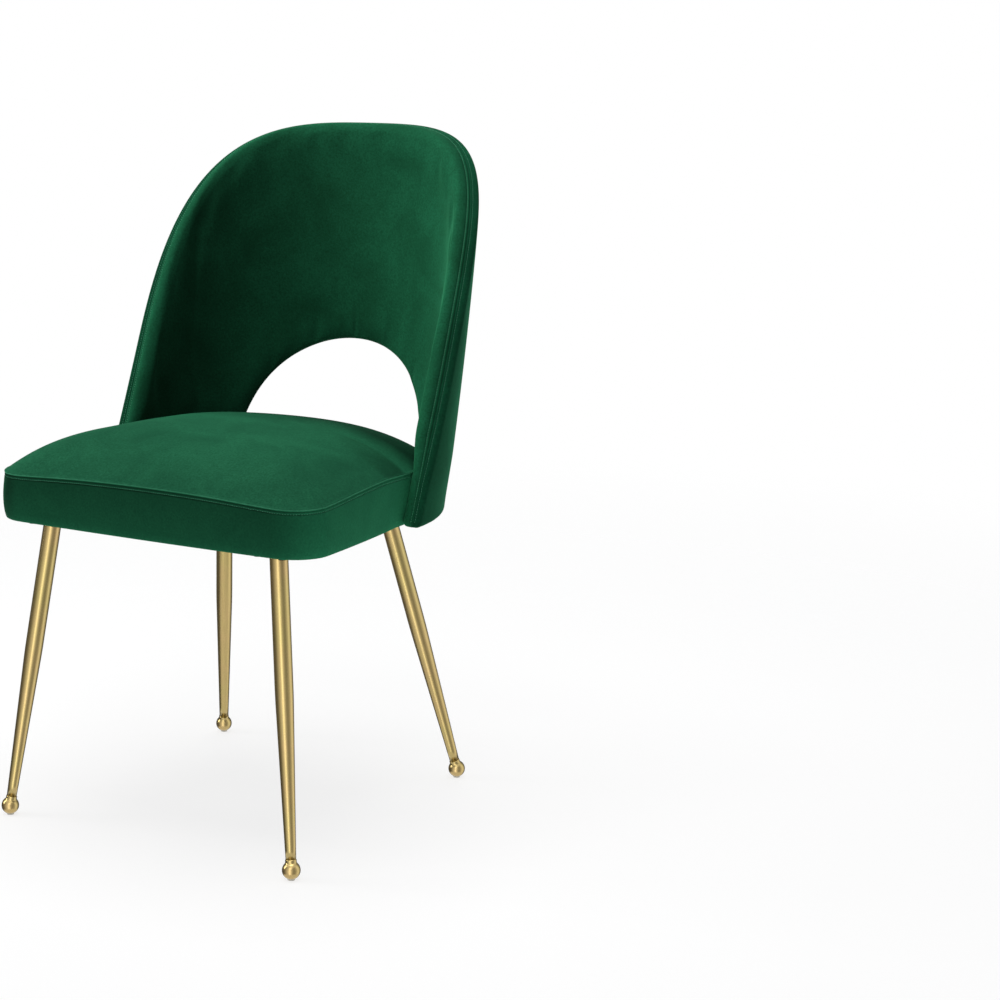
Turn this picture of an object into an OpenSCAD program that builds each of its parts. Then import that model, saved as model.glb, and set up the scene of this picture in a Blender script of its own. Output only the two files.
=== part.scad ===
// Upholstered dining chair with a wrap-round back and four splayed metal legs.
// Millimetres, +Z up. The chair faces -Y and the floor is z = 0. The origin lies on
// the floor under the middle of the chair's overall footprint.

/* [Seat] */
// Width of the seat between its front corners
seat_front_width = 466; // [440:1:500]
// Distance from the seat's cross line to its front edge
seat_front_reach = 218; // [205:1:236]
// How far the middle of the front edge bows out past its corners
seat_front_bow = 3; // [1:0.5:10]
// How far the sides bow out between the front corners and the arms
seat_side_bow = 2; // [0.5:0.5:6]
// Plan radius of the seat's front corners
seat_corner_radius = 46; // [35:1:70]
// Height of the seat cover's underside above the floor
seat_underside = 382; // [365:1:405]
// Height of the sewn border between the underside and the top seam
seat_border_height = 60; // [48:1:75]
// Rise of the crowned top above its seam
seat_crown = 52; // [38:1:72]
// Fullness of the crown: a higher value is flatter with a steeper shoulder
seat_crown_fullness = 3.8; // [2:0.1:4]
// Thickness of the plywood seat board
seat_board_thickness = 12; // [9:1:18]

/* [Back] */
// Height of the back's top edge above the floor
overall_height = 855; // [820:1:900]
// Height of the arms' lower ends above the floor
arm_bottom = 382; // [371:1:385]
// How far an arm's lower end stands out past the seat's side
arm_overhang = 7.5; // [4:0.5:12]
// How far the back's full curve widens on each side from its foot to its top
back_flare = 12.5; // [3:0.5:18]
// Front-to-rear depth of the back's curve at the arms' lower ends
back_bow_low = 239; // [225:1:250]
// Front-to-rear depth of the back's curve at its top
back_bow_high = 200; // [185:1:215]
// Distance from the seat's cross line to the rear face at the arms' lower ends
back_rear_reach = 263; // [255:1:272]
// How far the rear face leans back between the arms' lower ends and the top
back_lean = 49; // [35:1:65]
// Outward belly of the rear face halfway up
back_belly = 8; // [0:1:14]
// Finished thickness of the padded back
back_thickness = 27; // [25:0.5:32]
// Angle from the centre line to the arms' front edges at their lower ends
arm_wrap_angle_low = 91; // [84:0.5:93]
// Angle that the arms' front edges would reach at the top without the shoulders
arm_wrap_angle_high = 66.5; // [60:0.5:74]
// Height where the straight arm edges run over into the rounded shoulders
shoulder_start = 562; // [530:1:600]
// Squareness of the shoulders along the height
shoulder_rise_power = 2.6; // [2:0.1:3.2]
// Squareness of the shoulders along the width
shoulder_width_power = 3.2; // [2:0.1:3.6]

/* [Cut-out] */
// Angle from the centre line to the sides of the cut-out
cutout_half_angle = 40.5; // [34:0.5:46]
// Height where the cut-out's arch springs from its straight sides
cutout_spring = 427; // [410:1:450]
// Rise of the cut-out's arch
cutout_rise = 148; // [120:1:175]

/* [Padding and covers] */
// Thickness of the velvet cover
cover_thickness = 1.2; // [0.8:0.1:2]
// Thickness of the foam behind the plywood back
outer_foam_thickness = 4; // [3:0.5:5]
// Thickness of the bent plywood back
back_ply_thickness = 9; // [8:0.5:11]
// Distance from the back's rim to the edge of its plywood
back_ply_inset = 9; // [7:0.5:14]
// Radius of the padded roll on the inner side of the rim
rim_roll_inner = 14; // [8:0.5:15]
// Radius of the rim on its outer side
rim_roll_outer = 5; // [3:0.5:5]
// Width of the border's hem glued under the seat board
hem_width = 10; // [7:1:12]
// Thickness of the non-woven dust cover
dust_cover_thickness = 0.8; // [0.5:0.1:1.2]
// Distance from the seat's outline to the dust cover's edge
dust_cover_inset = 6; // [4:1:9]

/* [Legs] */
// Distance from the seat's side to the top of a front leg
front_leg_inset_x = 65; // [58:1:76]
// Distance from the seat's front edge to the top of a front leg
front_leg_inset_y = 45; // [43:1:58]
// Distance from an arm's outer side to the top of a rear leg
rear_leg_inset_x = 115; // [112:1:124]
// Distance from the back's rear face to the top of a rear leg
rear_leg_inset_y = 129; // [125:1:134]
// Sideways splay of a front leg, from its top to its foot
front_splay_x = 45; // [30:1:60]
// Forward splay of a front leg
front_splay_y = 42; // [30:1:58]
// Sideways splay of a rear leg
rear_splay_x = 64; // [50:1:80]
// Rearward splay of a rear leg
rear_splay_y = 85; // [68:1:100]
// Diameter of the leg tube over its straight upper part
leg_top_diameter = 22; // [19:0.5:25]
// Diameter of the leg tube where it meets the ball foot
leg_end_diameter = 12.5; // [11:0.5:15]
// Share of the leg's length over which it tapers
leg_taper_share = 0.53; // [0.4:0.01:0.7]
// Wall of the leg tube
leg_wall = 1.5; // [1:0.1:2]
// Diameter of the ball foot
ball_diameter = 22; // [19:0.5:26]
// Diameter of the nylon glide let into the ball foot
glide_diameter = 9; // [7:0.5:12]
// Height of the nylon glide
glide_height = 3.6; // [3:0.2:5]
// How far the glide stands out below the ball foot
glide_standout = 0.8; // [0.4:0.1:1.4]
// Width of the square plate welded to the top of a leg
plate_width = 48; // [46:1:50]
// Thickness of the leg plate
plate_thickness = 3; // [2.5:0.5:4]
// Corner radius of the leg plate
plate_corner = 8; // [5:1:10]
// Spacing of the bolts through a leg plate
plate_bolt_spacing = 34; // [32:1:35]

/* [Fasteners] */
// Diameter of the machine bolts
bolt_diameter = 6; // [5:0.5:6.5]
// Diameter of the bolt heads
bolt_head_diameter = 11; // [10:0.5:12]
// Height of the bolt heads
bolt_head_height = 3; // [2.5:0.1:3.4]
// Diameter of the flange of a T-nut
nut_flange_diameter = 17; // [15:0.5:18]
// Thickness of the flange of a T-nut
nut_flange_thickness = 1.4; // [1:0.1:1.8]
// Outer diameter of the barrel of a T-nut
nut_barrel_diameter = 7.8; // [7.4:0.1:8.4]
// Length of the barrel of a T-nut
nut_barrel_length = 8; // [6:0.5:8.5]
// Diameter of the washers on the back bolts
washer_diameter = 16; // [14:0.5:18]
// Thickness of the washers on the back bolts
washer_thickness = 1.2; // [1:0.1:1.5]
// Clearance of a bolt in its hole, on the diameter
bolt_clearance = 0.6; // [0.3:0.1:1]
// Clearance of a bolt in its nut's thread, on the diameter
thread_clearance = 0.2; // [0.1:0.05:0.3]
// Angle from the centre line to the rear bolt of each arm
arm_bolt_angle_rear = 60; // [58:1:61]
// Angle from the centre line to the front bolt of each arm
arm_bolt_angle_front = 76; // [75:1:78]
// Height of the arm bolts above the top of the seat board
arm_bolt_height = 18; // [16:1:20]
// Width of the hardwood blocks that the arm bolts screw into
block_width = 42; // [38:1:46]
// Depth of the hardwood blocks
block_depth = 26; // [22:1:30]
// Height of the hardwood blocks
block_height = 36; // [34:1:38]
// Diameter of the wood screws that hold the blocks to the board
wood_screw_diameter = 4; // [3.5:0.5:5]
// Diameter of the wood screws' countersunk heads
screw_head_diameter = 8; // [7:0.5:9]
// Height of the wood screws' heads
screw_head_height = 2.4; // [2:0.1:3]
// Spacing of the two wood screws of a block
wood_screw_spacing = 24; // [20:1:26]
// Distance from a block's outer face to its wood screws
wood_screw_setback = 17; // [14:1:18]
// Depth of the wood screws' grip in a block
wood_screw_grip = 10; // [8:1:12]
// Length of a staple's crown
staple_crown = 10; // [8:1:12]
// Thickness of the staple wire
staple_wire = 0.8; // [0.6:0.1:1]
// Length of a staple's legs
staple_leg = 6; // [4:1:8]
// Distance from the seat's outline to the row of staples
staple_inset = 13; // [12:0.5:13.5]
// Number of staples on each half of the dust cover
staples_per_side = 14; // [8:1:20]

/* [Hidden] */

// Gap left between two layers that lie on each other
layer_gap = 0.2;
// Gap between the seat's border and the inner side of the arms
seat_gap = 0.6;
// Overlap that lets a cutter break cleanly through a face
cut_through = 4;
// Clearance of a piece in the pocket made for it
pocket_clearance = 1;
// How far the neck of a ball foot rises past the ball
neck_rise = 1.5;

back_half_width_low = seat_front_width / 2 + arm_overhang;
back_half_width_high = back_half_width_low + back_flare;
seat_seam = seat_underside + seat_border_height;
board_bottom = seat_underside + cover_thickness + layer_gap;
board_top = board_bottom + seat_board_thickness;
board_inset = cover_thickness + layer_gap;
dust_cover_top = seat_underside - layer_gap;
dust_cover_bottom = dust_cover_top - dust_cover_thickness;
plate_top = dust_cover_bottom;
plate_bottom = plate_top - plate_thickness;
ball_radius = ball_diameter / 2;
ball_centre_height = glide_standout + ball_radius;
neck_top = ball_radius + neck_rise;
front_top_x = seat_front_width / 2 - front_leg_inset_x;
front_top_y = seat_front_reach - front_leg_inset_y;
rear_top_x = back_half_width_low - rear_leg_inset_x;
rear_top_y = back_rear_reach - rear_leg_inset_y;
front_foot_x = front_top_x + front_splay_x;
front_foot_y = front_top_y + front_splay_y;
rear_foot_x = rear_top_x + rear_splay_x;
rear_foot_y = rear_top_y + rear_splay_y;

// Depths below the back's outer skin of the layers inside it
outer_foam_face = cover_thickness + layer_gap;
outer_foam_back = outer_foam_face + outer_foam_thickness;
ply_face = outer_foam_back + layer_gap;
ply_back = ply_face + back_ply_thickness;
lining_depth = back_thickness - cover_thickness;
inner_foam_depth = lining_depth - layer_gap;

arm_bolt_level = board_top + arm_bolt_height;

velvet = [0.1, 0.34, 0.23];
velvet_light = [0.14, 0.42, 0.29];
foam_cream = [0.93, 0.88, 0.72];
plywood = [0.82, 0.66, 0.44];
hardwood = [0.72, 0.52, 0.33];
brass = [0.76, 0.63, 0.36];
zinc = [0.75, 0.76, 0.78];
black_fabric = [0.1, 0.1, 0.1];
nylon = [0.85, 0.85, 0.82];

// ---- The back's curved surface -------------------------------------------------

function clamp01(v) = max(0, min(1, v));

// Share of the back's height at z, 0 at the arms' lower ends and 1 at the top
function rise(z) = (z - arm_bottom) / (overall_height - arm_bottom);

function half_width(z) =
    back_half_width_low + (back_half_width_high - back_half_width_low) * rise(z);

function bow(z) = back_bow_low + (back_bow_high - back_bow_low) * rise(z);

function rear_face(z) =
    back_rear_reach + back_lean * rise(z) + back_belly * 4 * rise(z) * (1 - rise(z));

// Point of the back at an angle from the centre line, a height and a depth under the skin
function shell_point(angle, z, depth) = [
    (half_width(z) - depth) * sin(angle),
    rear_face(z) - depth - (bow(z) - depth) * (1 - cos(angle)),
    z
];

// Angle from the centre line to the back's outer rim at a height
function rim_angle(z) =
    (arm_wrap_angle_low + (arm_wrap_angle_high - arm_wrap_angle_low) * rise(z))
    * pow(
        1 - pow(clamp01((z - shoulder_start) / (overall_height - shoulder_start)), shoulder_rise_power),
        1 / shoulder_width_power
    );

// ---- The horseshoe of the back: from one arm over the top to the other ------------

// Stations from an arm's lower end to the top centre, and rows from cut-out to rim
horseshoe_stations = 24;
horseshoe_rows = 10;
// Stations below the cut-out's spring line, and share of the rest along the straight rim
arm_stations = 4;
arm_share = arm_stations / horseshoe_stations;
straight_rim_share = 0.3;

// Height of the stations on the arms, closer together at the rounded lower end
function arm_height(h, inset) =
    arm_bottom + inset + (cutout_spring - arm_bottom - inset) * (1 - cos(90 * h / arm_share));

// Share of the arch at station h
function arch_share(h) = (h - arm_share) / (1 - arm_share);

function cutout_at(h, inset) =
    h < arm_share
    ? [cutout_half_angle, arm_height(h, inset)]
    : [
        cutout_half_angle * cos(90 * arch_share(h)),
        cutout_spring + cutout_rise * sin(90 * arch_share(h))
    ];

function rim_height(h, inset) =
    h < arm_share
    ? arm_height(h, inset)
    : arch_share(h) < straight_rim_share
    ? cutout_spring + (shoulder_start - cutout_spring) * arch_share(h) / straight_rim_share
    : shoulder_start + (overall_height - shoulder_start) * pow(
        sin(90 * (arch_share(h) - straight_rim_share) / (1 - straight_rim_share)),
        2 / shoulder_rise_power
    );

function rim_at(h, inset) = [rim_angle(rim_height(h, inset)), rim_height(h, inset)];

// Length of the band between cut-out and rim at station h
function band_width(h, inset) = norm([
    half_width(cutout_spring) * (rim_at(h, inset)[0] - cutout_at(h, inset)[0]) * PI / 180,
    rim_at(h, inset)[1] - cutout_at(h, inset)[1]
]);

// How far a face turns in at distance e from the rim, rolled to radius r
function roll(e, r) = e >= r ? 0 : r - sqrt(max(0, r * r - pow(r - max(0, e), 2)));

// Share of the band at row j, closer together at both rims
function row_share(j, inset, width) =
    let(edge = inset / width)
    edge + (1 - 2 * edge) * (1 - cos(180 * j / horseshoe_rows)) / 2;

// One face of a layer at station h: points from cut-out to rim, mirrored by side. The
// face keeps an inset from both rims and an end inset from the arms' lower ends.
function band_face(h, side, inset, end, depth, radius, direction) = [
    for (j = [0 : horseshoe_rows])
        let(
            width = band_width(h, end),
            t = row_share(j, inset, width),
            place = cutout_at(h, end) * (1 - t) + rim_at(h, end) * t,
            rim_distance = min(t, 1 - t) * width - inset,
            end_distance = place[1] - arm_bottom - end,
            turn = roll(min(rim_distance, end_distance), radius)
        )
        shell_point(side * place[0], place[1], depth + direction * turn)
];

function reversed(list) = [for (i = [len(list) - 1 : -1 : 0]) list[i]];

// Closed solid through rings of equal length, capped at both ends or joined in a loop
module loft(rings, loop = false) {
    n = len(rings[0]);
    m = len(rings);
    points = [for (ring = rings) each ring];
    sides = [
        for (i = [0 : m - (loop ? 1 : 2)])
            for (j = [0 : n - 1])
                let(
                    a = i * n + j,
                    b = i * n + (j + 1) % n,
                    c = ((i + 1) % m) * n + (j + 1) % n,
                    d = ((i + 1) % m) * n + j
                )
                each [[a, b, c], [a, c, d]]
    ];
    caps = loop ? [] : [[for (j = [n - 1 : -1 : 0]) j], [for (j = [0 : n - 1]) (m - 1) * n + j]];
    polyhedron(points, concat(sides, caps), convexity = 10);
}

// Sides and stations of the horseshoe, from the left arm over the top to the right arm
stations = [
    for (k = [-horseshoe_stations : horseshoe_stations])
        [k < 0 ? -1 : 1, 1 - abs(k) / horseshoe_stations]
];

// Layer of the back between two depths. The outer face turns in at the rims, and the
// inner face turns out, or in where inner_turn is 1.
module back_layer(outer_depth, inner_depth, inset, outer_roll, inner_roll, inner_turn = -1) {
    loft([
        for (s = stations)
            concat(
                band_face(s[1], s[0], inset, inset, outer_depth, outer_roll, 1),
                reversed(band_face(s[1], s[0], inset, inset, inner_depth, inner_roll, inner_turn))
            )
    ]);
}

// Station on an arm at the height of station h of a path with another end inset
function same_height(h, end, other_end) =
    h >= arm_share
    ? h
    : arm_share / 90 * acos(
        1 - (arm_height(h, end) - arm_bottom - other_end) / (cutout_spring - arm_bottom - other_end)
    );

// Ring of a layer that wraps round the rims, from two faces and their lips
function wrap_ring(outer, outer_lip, inner, inner_lip) = concat(
    [outer_lip[0]],
    outer,
    [outer_lip[horseshoe_rows], inner_lip[horseshoe_rows]],
    reversed(inner),
    [inner_lip[0]]
);

// Solid ring that closes a wrapped layer at an arm's lower end
function wrap_end(side, lip_depth, depth, inset, wall, radius) = wrap_ring(
    band_face(0, side, inset, inset, depth, radius, -1),
    band_face(0, side, inset, inset, lip_depth, 0, -1),
    band_face(0, side, inset + 2 * wall, inset, lip_depth, 0, -1),
    band_face(0, side, inset + wall, inset, lip_depth, 0, -1)
);

// Layer on the inner side of the back that wraps round the rims and ends in lips at
// lip_depth. It is one wall thick at the rims and hollow down to inner_depth.
module back_wrap(lip_depth, depth, inner_depth, inset, wall, radius, inner_radius) {
    hollow = inset + wall;
    loft(concat(
        [wrap_end(-1, lip_depth, depth, inset, wall, radius)],
        [
            for (s = stations)
                let(side = s[0], h = s[1], outer_h = same_height(h, hollow, inset))
                wrap_ring(
                    band_face(outer_h, side, inset, inset, depth, radius, -1),
                    band_face(outer_h, side, inset, inset, lip_depth, 0, -1),
                    band_face(h, side, hollow, hollow, inner_depth, inner_radius, -1),
                    band_face(h, side, hollow, hollow, lip_depth, 0, -1)
                )
        ],
        [wrap_end(1, lip_depth, depth, inset, wall, radius)]
    ));
}

// ---- The seat's outline ----------------------------------------------------------

front_steps = 3;
corner_steps = 6;
side_steps = 3;
rear_steps = 14;
seat_centre_y = (back_rear_reach - back_thickness - seat_front_reach) / 2;

// Rear part of the outline: it follows the inner side of the back
function seat_rear_point(angle, z, inset) =
    shell_point(angle, z, back_thickness + seat_gap + inset);

// Right half of the outline from the front centre to the rear centre
function seat_half_outline(z, inset) =
    let(
        corner_x = seat_front_width / 2 - seat_corner_radius,
        corner_y = seat_corner_radius + seat_front_bow - seat_front_reach,
        radius = seat_corner_radius - inset,
        side_start = [corner_x + radius, corner_y, z],
        side_end = seat_rear_point(arm_wrap_angle_low, z, inset)
    )
    concat(
        [
            for (i = [0 : front_steps - 1])
                let(u = i / front_steps)
                [corner_x * u, inset - seat_front_reach + seat_front_bow * u * u, z]
        ],
        [
            for (i = [0 : corner_steps])
                let(a = 90 * i / corner_steps)
                [corner_x + radius * sin(a), corner_y - radius * cos(a), z]
        ],
        [
            for (i = [1 : side_steps - 1])
                let(u = i / side_steps)
                side_start + (side_end - side_start) * u + [seat_side_bow * 4 * u * (1 - u), 0, 0]
        ],
        [for (i = [0 : rear_steps]) seat_rear_point(arm_wrap_angle_low * (1 - i / rear_steps), z, inset)]
    );

// Whole outline, counter-clockwise from the front centre
function seat_outline(z, inset) =
    let(half = seat_half_outline(z, inset), last = len(half) - 1)
    concat(half, [for (i = [last - 1 : -1 : 1]) [-half[i][0], half[i][1], z]]);

function flat(points) = [for (p = points) [p[0], p[1]]];

// Rings of the crowned top from its seam to a small flat at its middle
crown_steps = 7;
crown_flat_step = 0.4;
crown_rings = [for (i = [0 : crown_steps - 1]) crown_steps - i, crown_flat_step];

// One ring of the crown, shrunk towards the middle of the seat and raised
function crown_ring(step, inset, seam, height) =
    let(s = sin(90 * step / crown_steps), lift = height * (1 - pow(s, seat_crown_fullness)))
    [
        for (p = seat_outline(seat_seam, inset))
            [p[0] * s, seat_centre_y + (p[1] - seat_centre_y) * s, seam + lift]
    ];

function crown(inset, seam, height) =
    [for (step = crown_rings) crown_ring(step, inset, seam, height)];

// ---- Places of the fasteners -------------------------------------------------------

// Leg places: side, foot x, foot y, top x, top y
front_left_leg = [-1, front_foot_x, -front_foot_y, front_top_x, -front_top_y];
front_right_leg = [1, front_foot_x, -front_foot_y, front_top_x, -front_top_y];
rear_left_leg = [-1, rear_foot_x, rear_foot_y, rear_top_x, rear_top_y];
rear_right_leg = [1, rear_foot_x, rear_foot_y, rear_top_x, rear_top_y];
legs = [front_left_leg, front_right_leg, rear_left_leg, rear_right_leg];

rear_extent = max([for (p = band_face(1, 1, 0, 0, 0, rim_roll_outer, 1)) p[1]]);
front_extent = max(front_foot_y + ball_radius, seat_front_reach);
footprint_middle = (rear_extent - front_extent) / 2;

// Moves the chair so that the middle of its footprint is at the origin
module placed() {
    translate([0, -footprint_middle, 0]) children();
}

// Repeats a piece at the four bolts of one leg plate
module at_plate_bolts(leg) {
    translate([leg[0] * leg[3], leg[4], 0])
        for (x = [-1, 1], y = [-1, 1])
            translate([x * plate_bolt_spacing / 2, y * plate_bolt_spacing / 2, 0])
                children();
}

// Puts a piece at an arm bolt: +Z runs inwards from the back's outer skin
module at_arm_bolt(side, angle) {
    translate(shell_point(side * angle, arm_bolt_level, 0))
        rotate([0, 90, atan2(-cos(angle), -side * sin(angle))])
            children();
}

module at_arm_bolts() {
    for (side = [-1, 1], angle = [arm_bolt_angle_front, arm_bolt_angle_rear])
        at_arm_bolt(side, angle) children();
}

// A flat spot in the curved plywood seats the washer
spot_face_depth = 1.5;
washer_seat = ply_face + spot_face_depth;
bolt_head_seat = washer_seat - washer_thickness;
// Room that a block's flat face needs inside the curved border
block_relief = 4.5;
block_face = back_thickness + seat_gap + cover_thickness + layer_gap + block_relief;
block_back = block_face + block_depth;
bolt_tip = 1;
arm_bolt_end = block_back + nut_flange_thickness + bolt_tip;
bolt_hole = bolt_diameter + bolt_clearance;
nut_hole = nut_barrel_diameter + bolt_clearance;

// Hole for the arm bolts through the layers between the plywood and the blocks
module arm_bolt_passage() {
    at_arm_bolts() cylinder(d = bolt_hole, h = block_face, $fn = 32);
}

// Round recess around the heads and washers of the arm bolts, from the skin inwards
module arm_bolt_recess(depth) {
    at_arm_bolts()
        translate([0, 0, -cut_through])
            cylinder(d = washer_diameter + pocket_clearance, h = depth + cut_through, $fn = 32);
}

// Hardwood block on the seat board, square to its arm bolt
module block_shape() {
    translate([board_top - arm_bolt_level, -block_width / 2, block_face])
        cube([block_height, block_width, block_depth]);
}

// Notch in the foam for a block, its bolt and its nut
module block_notch() {
    translate([
        board_top - arm_bolt_level - cut_through,
        -block_width / 2 - pocket_clearance,
        back_thickness - cut_through
    ])
        cube([
            block_height + cut_through + pocket_clearance,
            block_width + 2 * pocket_clearance,
            arm_bolt_end + pocket_clearance - back_thickness + cut_through
        ]);
}

screw_clearance = 0.3;

// Places of the two wood screws of a block, with +Z up and z = 0 at the board's underside
module at_block_screws(side, angle) {
    at_arm_bolt(side, angle)
        for (y = [-1, 1])
            translate([0, y * wood_screw_spacing / 2, block_face + wood_screw_setback])
                rotate([0, -90, 0])
                    translate([0, 0, board_bottom - arm_bolt_level])
                        children();
}

module at_all_block_screws() {
    for (side = [-1, 1], angle = [arm_bolt_angle_front, arm_bolt_angle_rear])
        at_block_screws(side, angle) children();
}

// Running length of a path at each of its points
function running_lengths(path) = [
    for (
        i = 0, total = 0;
        i < len(path);
        total = total + norm(path[min(i + 1, len(path) - 1)] - path[i]), i = i + 1
    )
        total
];

// Puts a piece at a share of the staple path, with +X along the path
module at_path(path, share) {
    lengths = running_lengths(path);
    run = share * lengths[len(path) - 1];
    k = max([for (i = [0 : len(path) - 2]) if (lengths[i] <= run) i]);
    step = path[k + 1] - path[k];
    place = path[k] + step * (run - lengths[k]) / norm(step);
    translate([place[0], place[1], dust_cover_bottom])
        rotate([0, 0, atan2(step[1], step[0])])
            children();
}

module at_staples() {
    path = seat_half_outline(seat_underside, staple_inset);
    for (i = [0 : staples_per_side - 1], side = [0, 1])
        mirror([side, 0, 0])
            at_path(path, (i + 0.5) / staples_per_side)
                children();
}

// Legs of a staple, grown by a clearance
module staple_legs(grow) {
    for (side = [-1, 1])
        translate([side * (staple_crown - staple_wire) / 2, 0, (staple_leg - staple_wire) / 2])
            cube(
                [staple_wire + grow, staple_wire + grow, staple_leg + staple_wire + grow],
                center = true
            );
}

// ---- Seat ----------------------------------------------------------------------------

// Flat plywood board that carries everything else
module seat_board() {
    color(plywood) placed() difference() {
        translate([0, 0, board_bottom])
            linear_extrude(seat_board_thickness)
                polygon(flat(seat_outline(board_bottom, board_inset)));
        for (leg = legs)
            at_plate_bolts(leg)
                translate([0, 0, board_bottom - cut_through])
                    cylinder(d = nut_hole, h = seat_board_thickness + 2 * cut_through, $fn = 32);
        at_all_block_screws() {
            translate([0, 0, -cut_through])
                cylinder(
                    d = wood_screw_diameter + screw_clearance,
                    h = seat_board_thickness + 2 * cut_through,
                    $fn = 24
                );
            translate([0, 0, -cut_through])
                cylinder(
                    d = screw_head_diameter + screw_clearance,
                    h = screw_head_height + layer_gap + cut_through,
                    $fn = 24
                );
        }
        at_staples() staple_legs(layer_gap);
    }
}

foam_inset = cover_thickness + layer_gap;
foam_crown = seat_crown - cover_thickness - layer_gap;

// Cut foam block with a crowned top, relieved for the blocks and the nuts
module seat_foam() {
    base = board_top + layer_gap;
    nut_pocket = nut_flange_thickness + bolt_tip + pocket_clearance;
    nut_circle = plate_bolt_spacing * sqrt(2) + nut_flange_diameter + 2 * pocket_clearance;
    color(foam_cream) placed() difference() {
        loft(concat(
            [seat_outline(base, foam_inset)],
            crown(foam_inset, seat_seam, foam_crown)
        ));
        for (leg = legs)
            translate([leg[0] * leg[3], leg[4], base - cut_through])
                cylinder(d = nut_circle, h = nut_pocket + cut_through, $fn = 32);
        at_arm_bolts() block_notch();
    }
}

// Top panel of the cover over the crown
module seat_top_cover() {
    seam = seat_seam + layer_gap;
    crown_height = seat_crown - layer_gap;
    color(velvet_light) placed()
        loft(concat(
            reversed(crown(cover_thickness, seam, crown_height - cover_thickness)),
            crown(0, seam, crown_height)
        ));
}

// Border of the cover, from the hem under the board up to the top seam
module seat_border_cover() {
    hem_top = seat_underside + cover_thickness;
    color(velvet) placed() difference() {
        loft(
            [
                seat_outline(seat_underside, 0),
                seat_outline(seat_seam, 0),
                seat_outline(seat_seam, cover_thickness),
                seat_outline(hem_top, cover_thickness),
                seat_outline(hem_top, hem_width),
                seat_outline(seat_underside, hem_width)
            ],
            loop = true
        );
        arm_bolt_passage();
    }
}

// Thin black panel that closes the underside
module seat_dust_cover() {
    color(black_fabric) placed() difference() {
        translate([0, 0, dust_cover_bottom])
            linear_extrude(dust_cover_thickness)
                polygon(flat(seat_outline(seat_underside, dust_cover_inset)));
        for (leg = legs)
            at_plate_bolts(leg)
                translate([0, 0, dust_cover_bottom - cut_through])
                    cylinder(d = bolt_hole, h = dust_cover_thickness + 2 * cut_through, $fn = 32);
        at_staples() staple_legs(layer_gap);
    }
}

// Wire staples that hold the dust cover to the board
module seat_staples() {
    color(zinc) placed() at_staples() {
        staple_legs(0);
        translate([0, 0, -staple_wire / 2])
            cube([staple_crown, staple_wire, staple_wire], center = true);
    }
}

// ---- Back ----------------------------------------------------------------------------

// Bent plywood shell that stiffens the back
module back_plywood() {
    color(plywood) placed() difference() {
        back_layer(ply_face, ply_back, back_ply_inset, 0, 0);
        arm_bolt_passage();
        arm_bolt_recess(washer_seat);
    }
}

// Foam on the inner side, wrapped round the plywood's edge
module back_inner_foam() {
    color(foam_cream) placed() difference() {
        back_wrap(
            ply_face, inner_foam_depth, ply_back + layer_gap, foam_inset,
            back_ply_inset - layer_gap - foam_inset, rim_roll_inner, 0
        );
        arm_bolt_passage();
    }
}

// Thin foam between the plywood and the outer cover
module back_outer_foam() {
    edge_roll = min(rim_roll_outer - foam_inset, outer_foam_thickness - layer_gap);
    color(foam_cream) placed() difference() {
        back_layer(outer_foam_face, outer_foam_back, foam_inset, edge_roll, 0);
        arm_bolt_recess(washer_seat);
    }
}

// Inner panel of the cover, wrapped round the rim to the outer seam
module back_inner_cover() {
    color(velvet_light) placed() difference() {
        back_wrap(
            outer_foam_face + rim_roll_outer, back_thickness, lining_depth, 0,
            cover_thickness, rim_roll_inner, rim_roll_inner - cover_thickness
        );
        arm_bolt_passage();
    }
}

// Outer panel of the cover
module back_outer_cover() {
    color(velvet) placed()
        back_layer(0, cover_thickness, 0, rim_roll_outer, rim_roll_outer, 1);
}

// ---- Back fasteners ------------------------------------------------------------------

module back_bolts() {
    color(zinc) placed() at_arm_bolts() {
        translate([0, 0, bolt_head_seat - bolt_head_height])
            cylinder(d = bolt_head_diameter, h = bolt_head_height, $fn = 32);
        translate([0, 0, bolt_head_seat])
            cylinder(d = bolt_diameter, h = arm_bolt_end - bolt_head_seat, $fn = 32);
    }
}

module back_washers() {
    color(zinc) placed() at_arm_bolts() difference() {
        translate([0, 0, bolt_head_seat])
            cylinder(d = washer_diameter, h = washer_thickness, $fn = 32);
        cylinder(d = bolt_hole, h = ply_back, $fn = 32);
    }
}

// T-nut with its flange on z = 0 and its barrel below
module t_nut() {
    difference() {
        union() {
            cylinder(d = nut_flange_diameter, h = nut_flange_thickness, $fn = 32);
            translate([0, 0, -nut_barrel_length])
                cylinder(d = nut_barrel_diameter, h = nut_barrel_length, $fn = 32);
        }
        translate([0, 0, -nut_barrel_length - cut_through])
            cylinder(
                d = bolt_diameter + thread_clearance,
                h = nut_barrel_length + nut_flange_thickness + 2 * cut_through,
                $fn = 32
            );
    }
}

module back_t_nuts() {
    color(zinc) placed() at_arm_bolts() translate([0, 0, block_back]) t_nut();
}

// Hardwood block between the seat board and an arm
module back_block(side, angle) {
    color(hardwood) placed() difference() {
        at_arm_bolt(side, angle) difference() {
            block_shape();
            translate([0, 0, block_face - cut_through])
                cylinder(d = bolt_hole, h = block_depth + 2 * cut_through, $fn = 32);
            translate([0, 0, block_back - nut_barrel_length - bolt_tip])
                cylinder(d = nut_hole, h = nut_barrel_length + bolt_tip + cut_through, $fn = 32);
        }
        at_block_screws(side, angle)
            cylinder(
                d = wood_screw_diameter + screw_clearance,
                h = seat_board_thickness + wood_screw_grip + bolt_tip,
                $fn = 24
            );
    }
}

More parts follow.
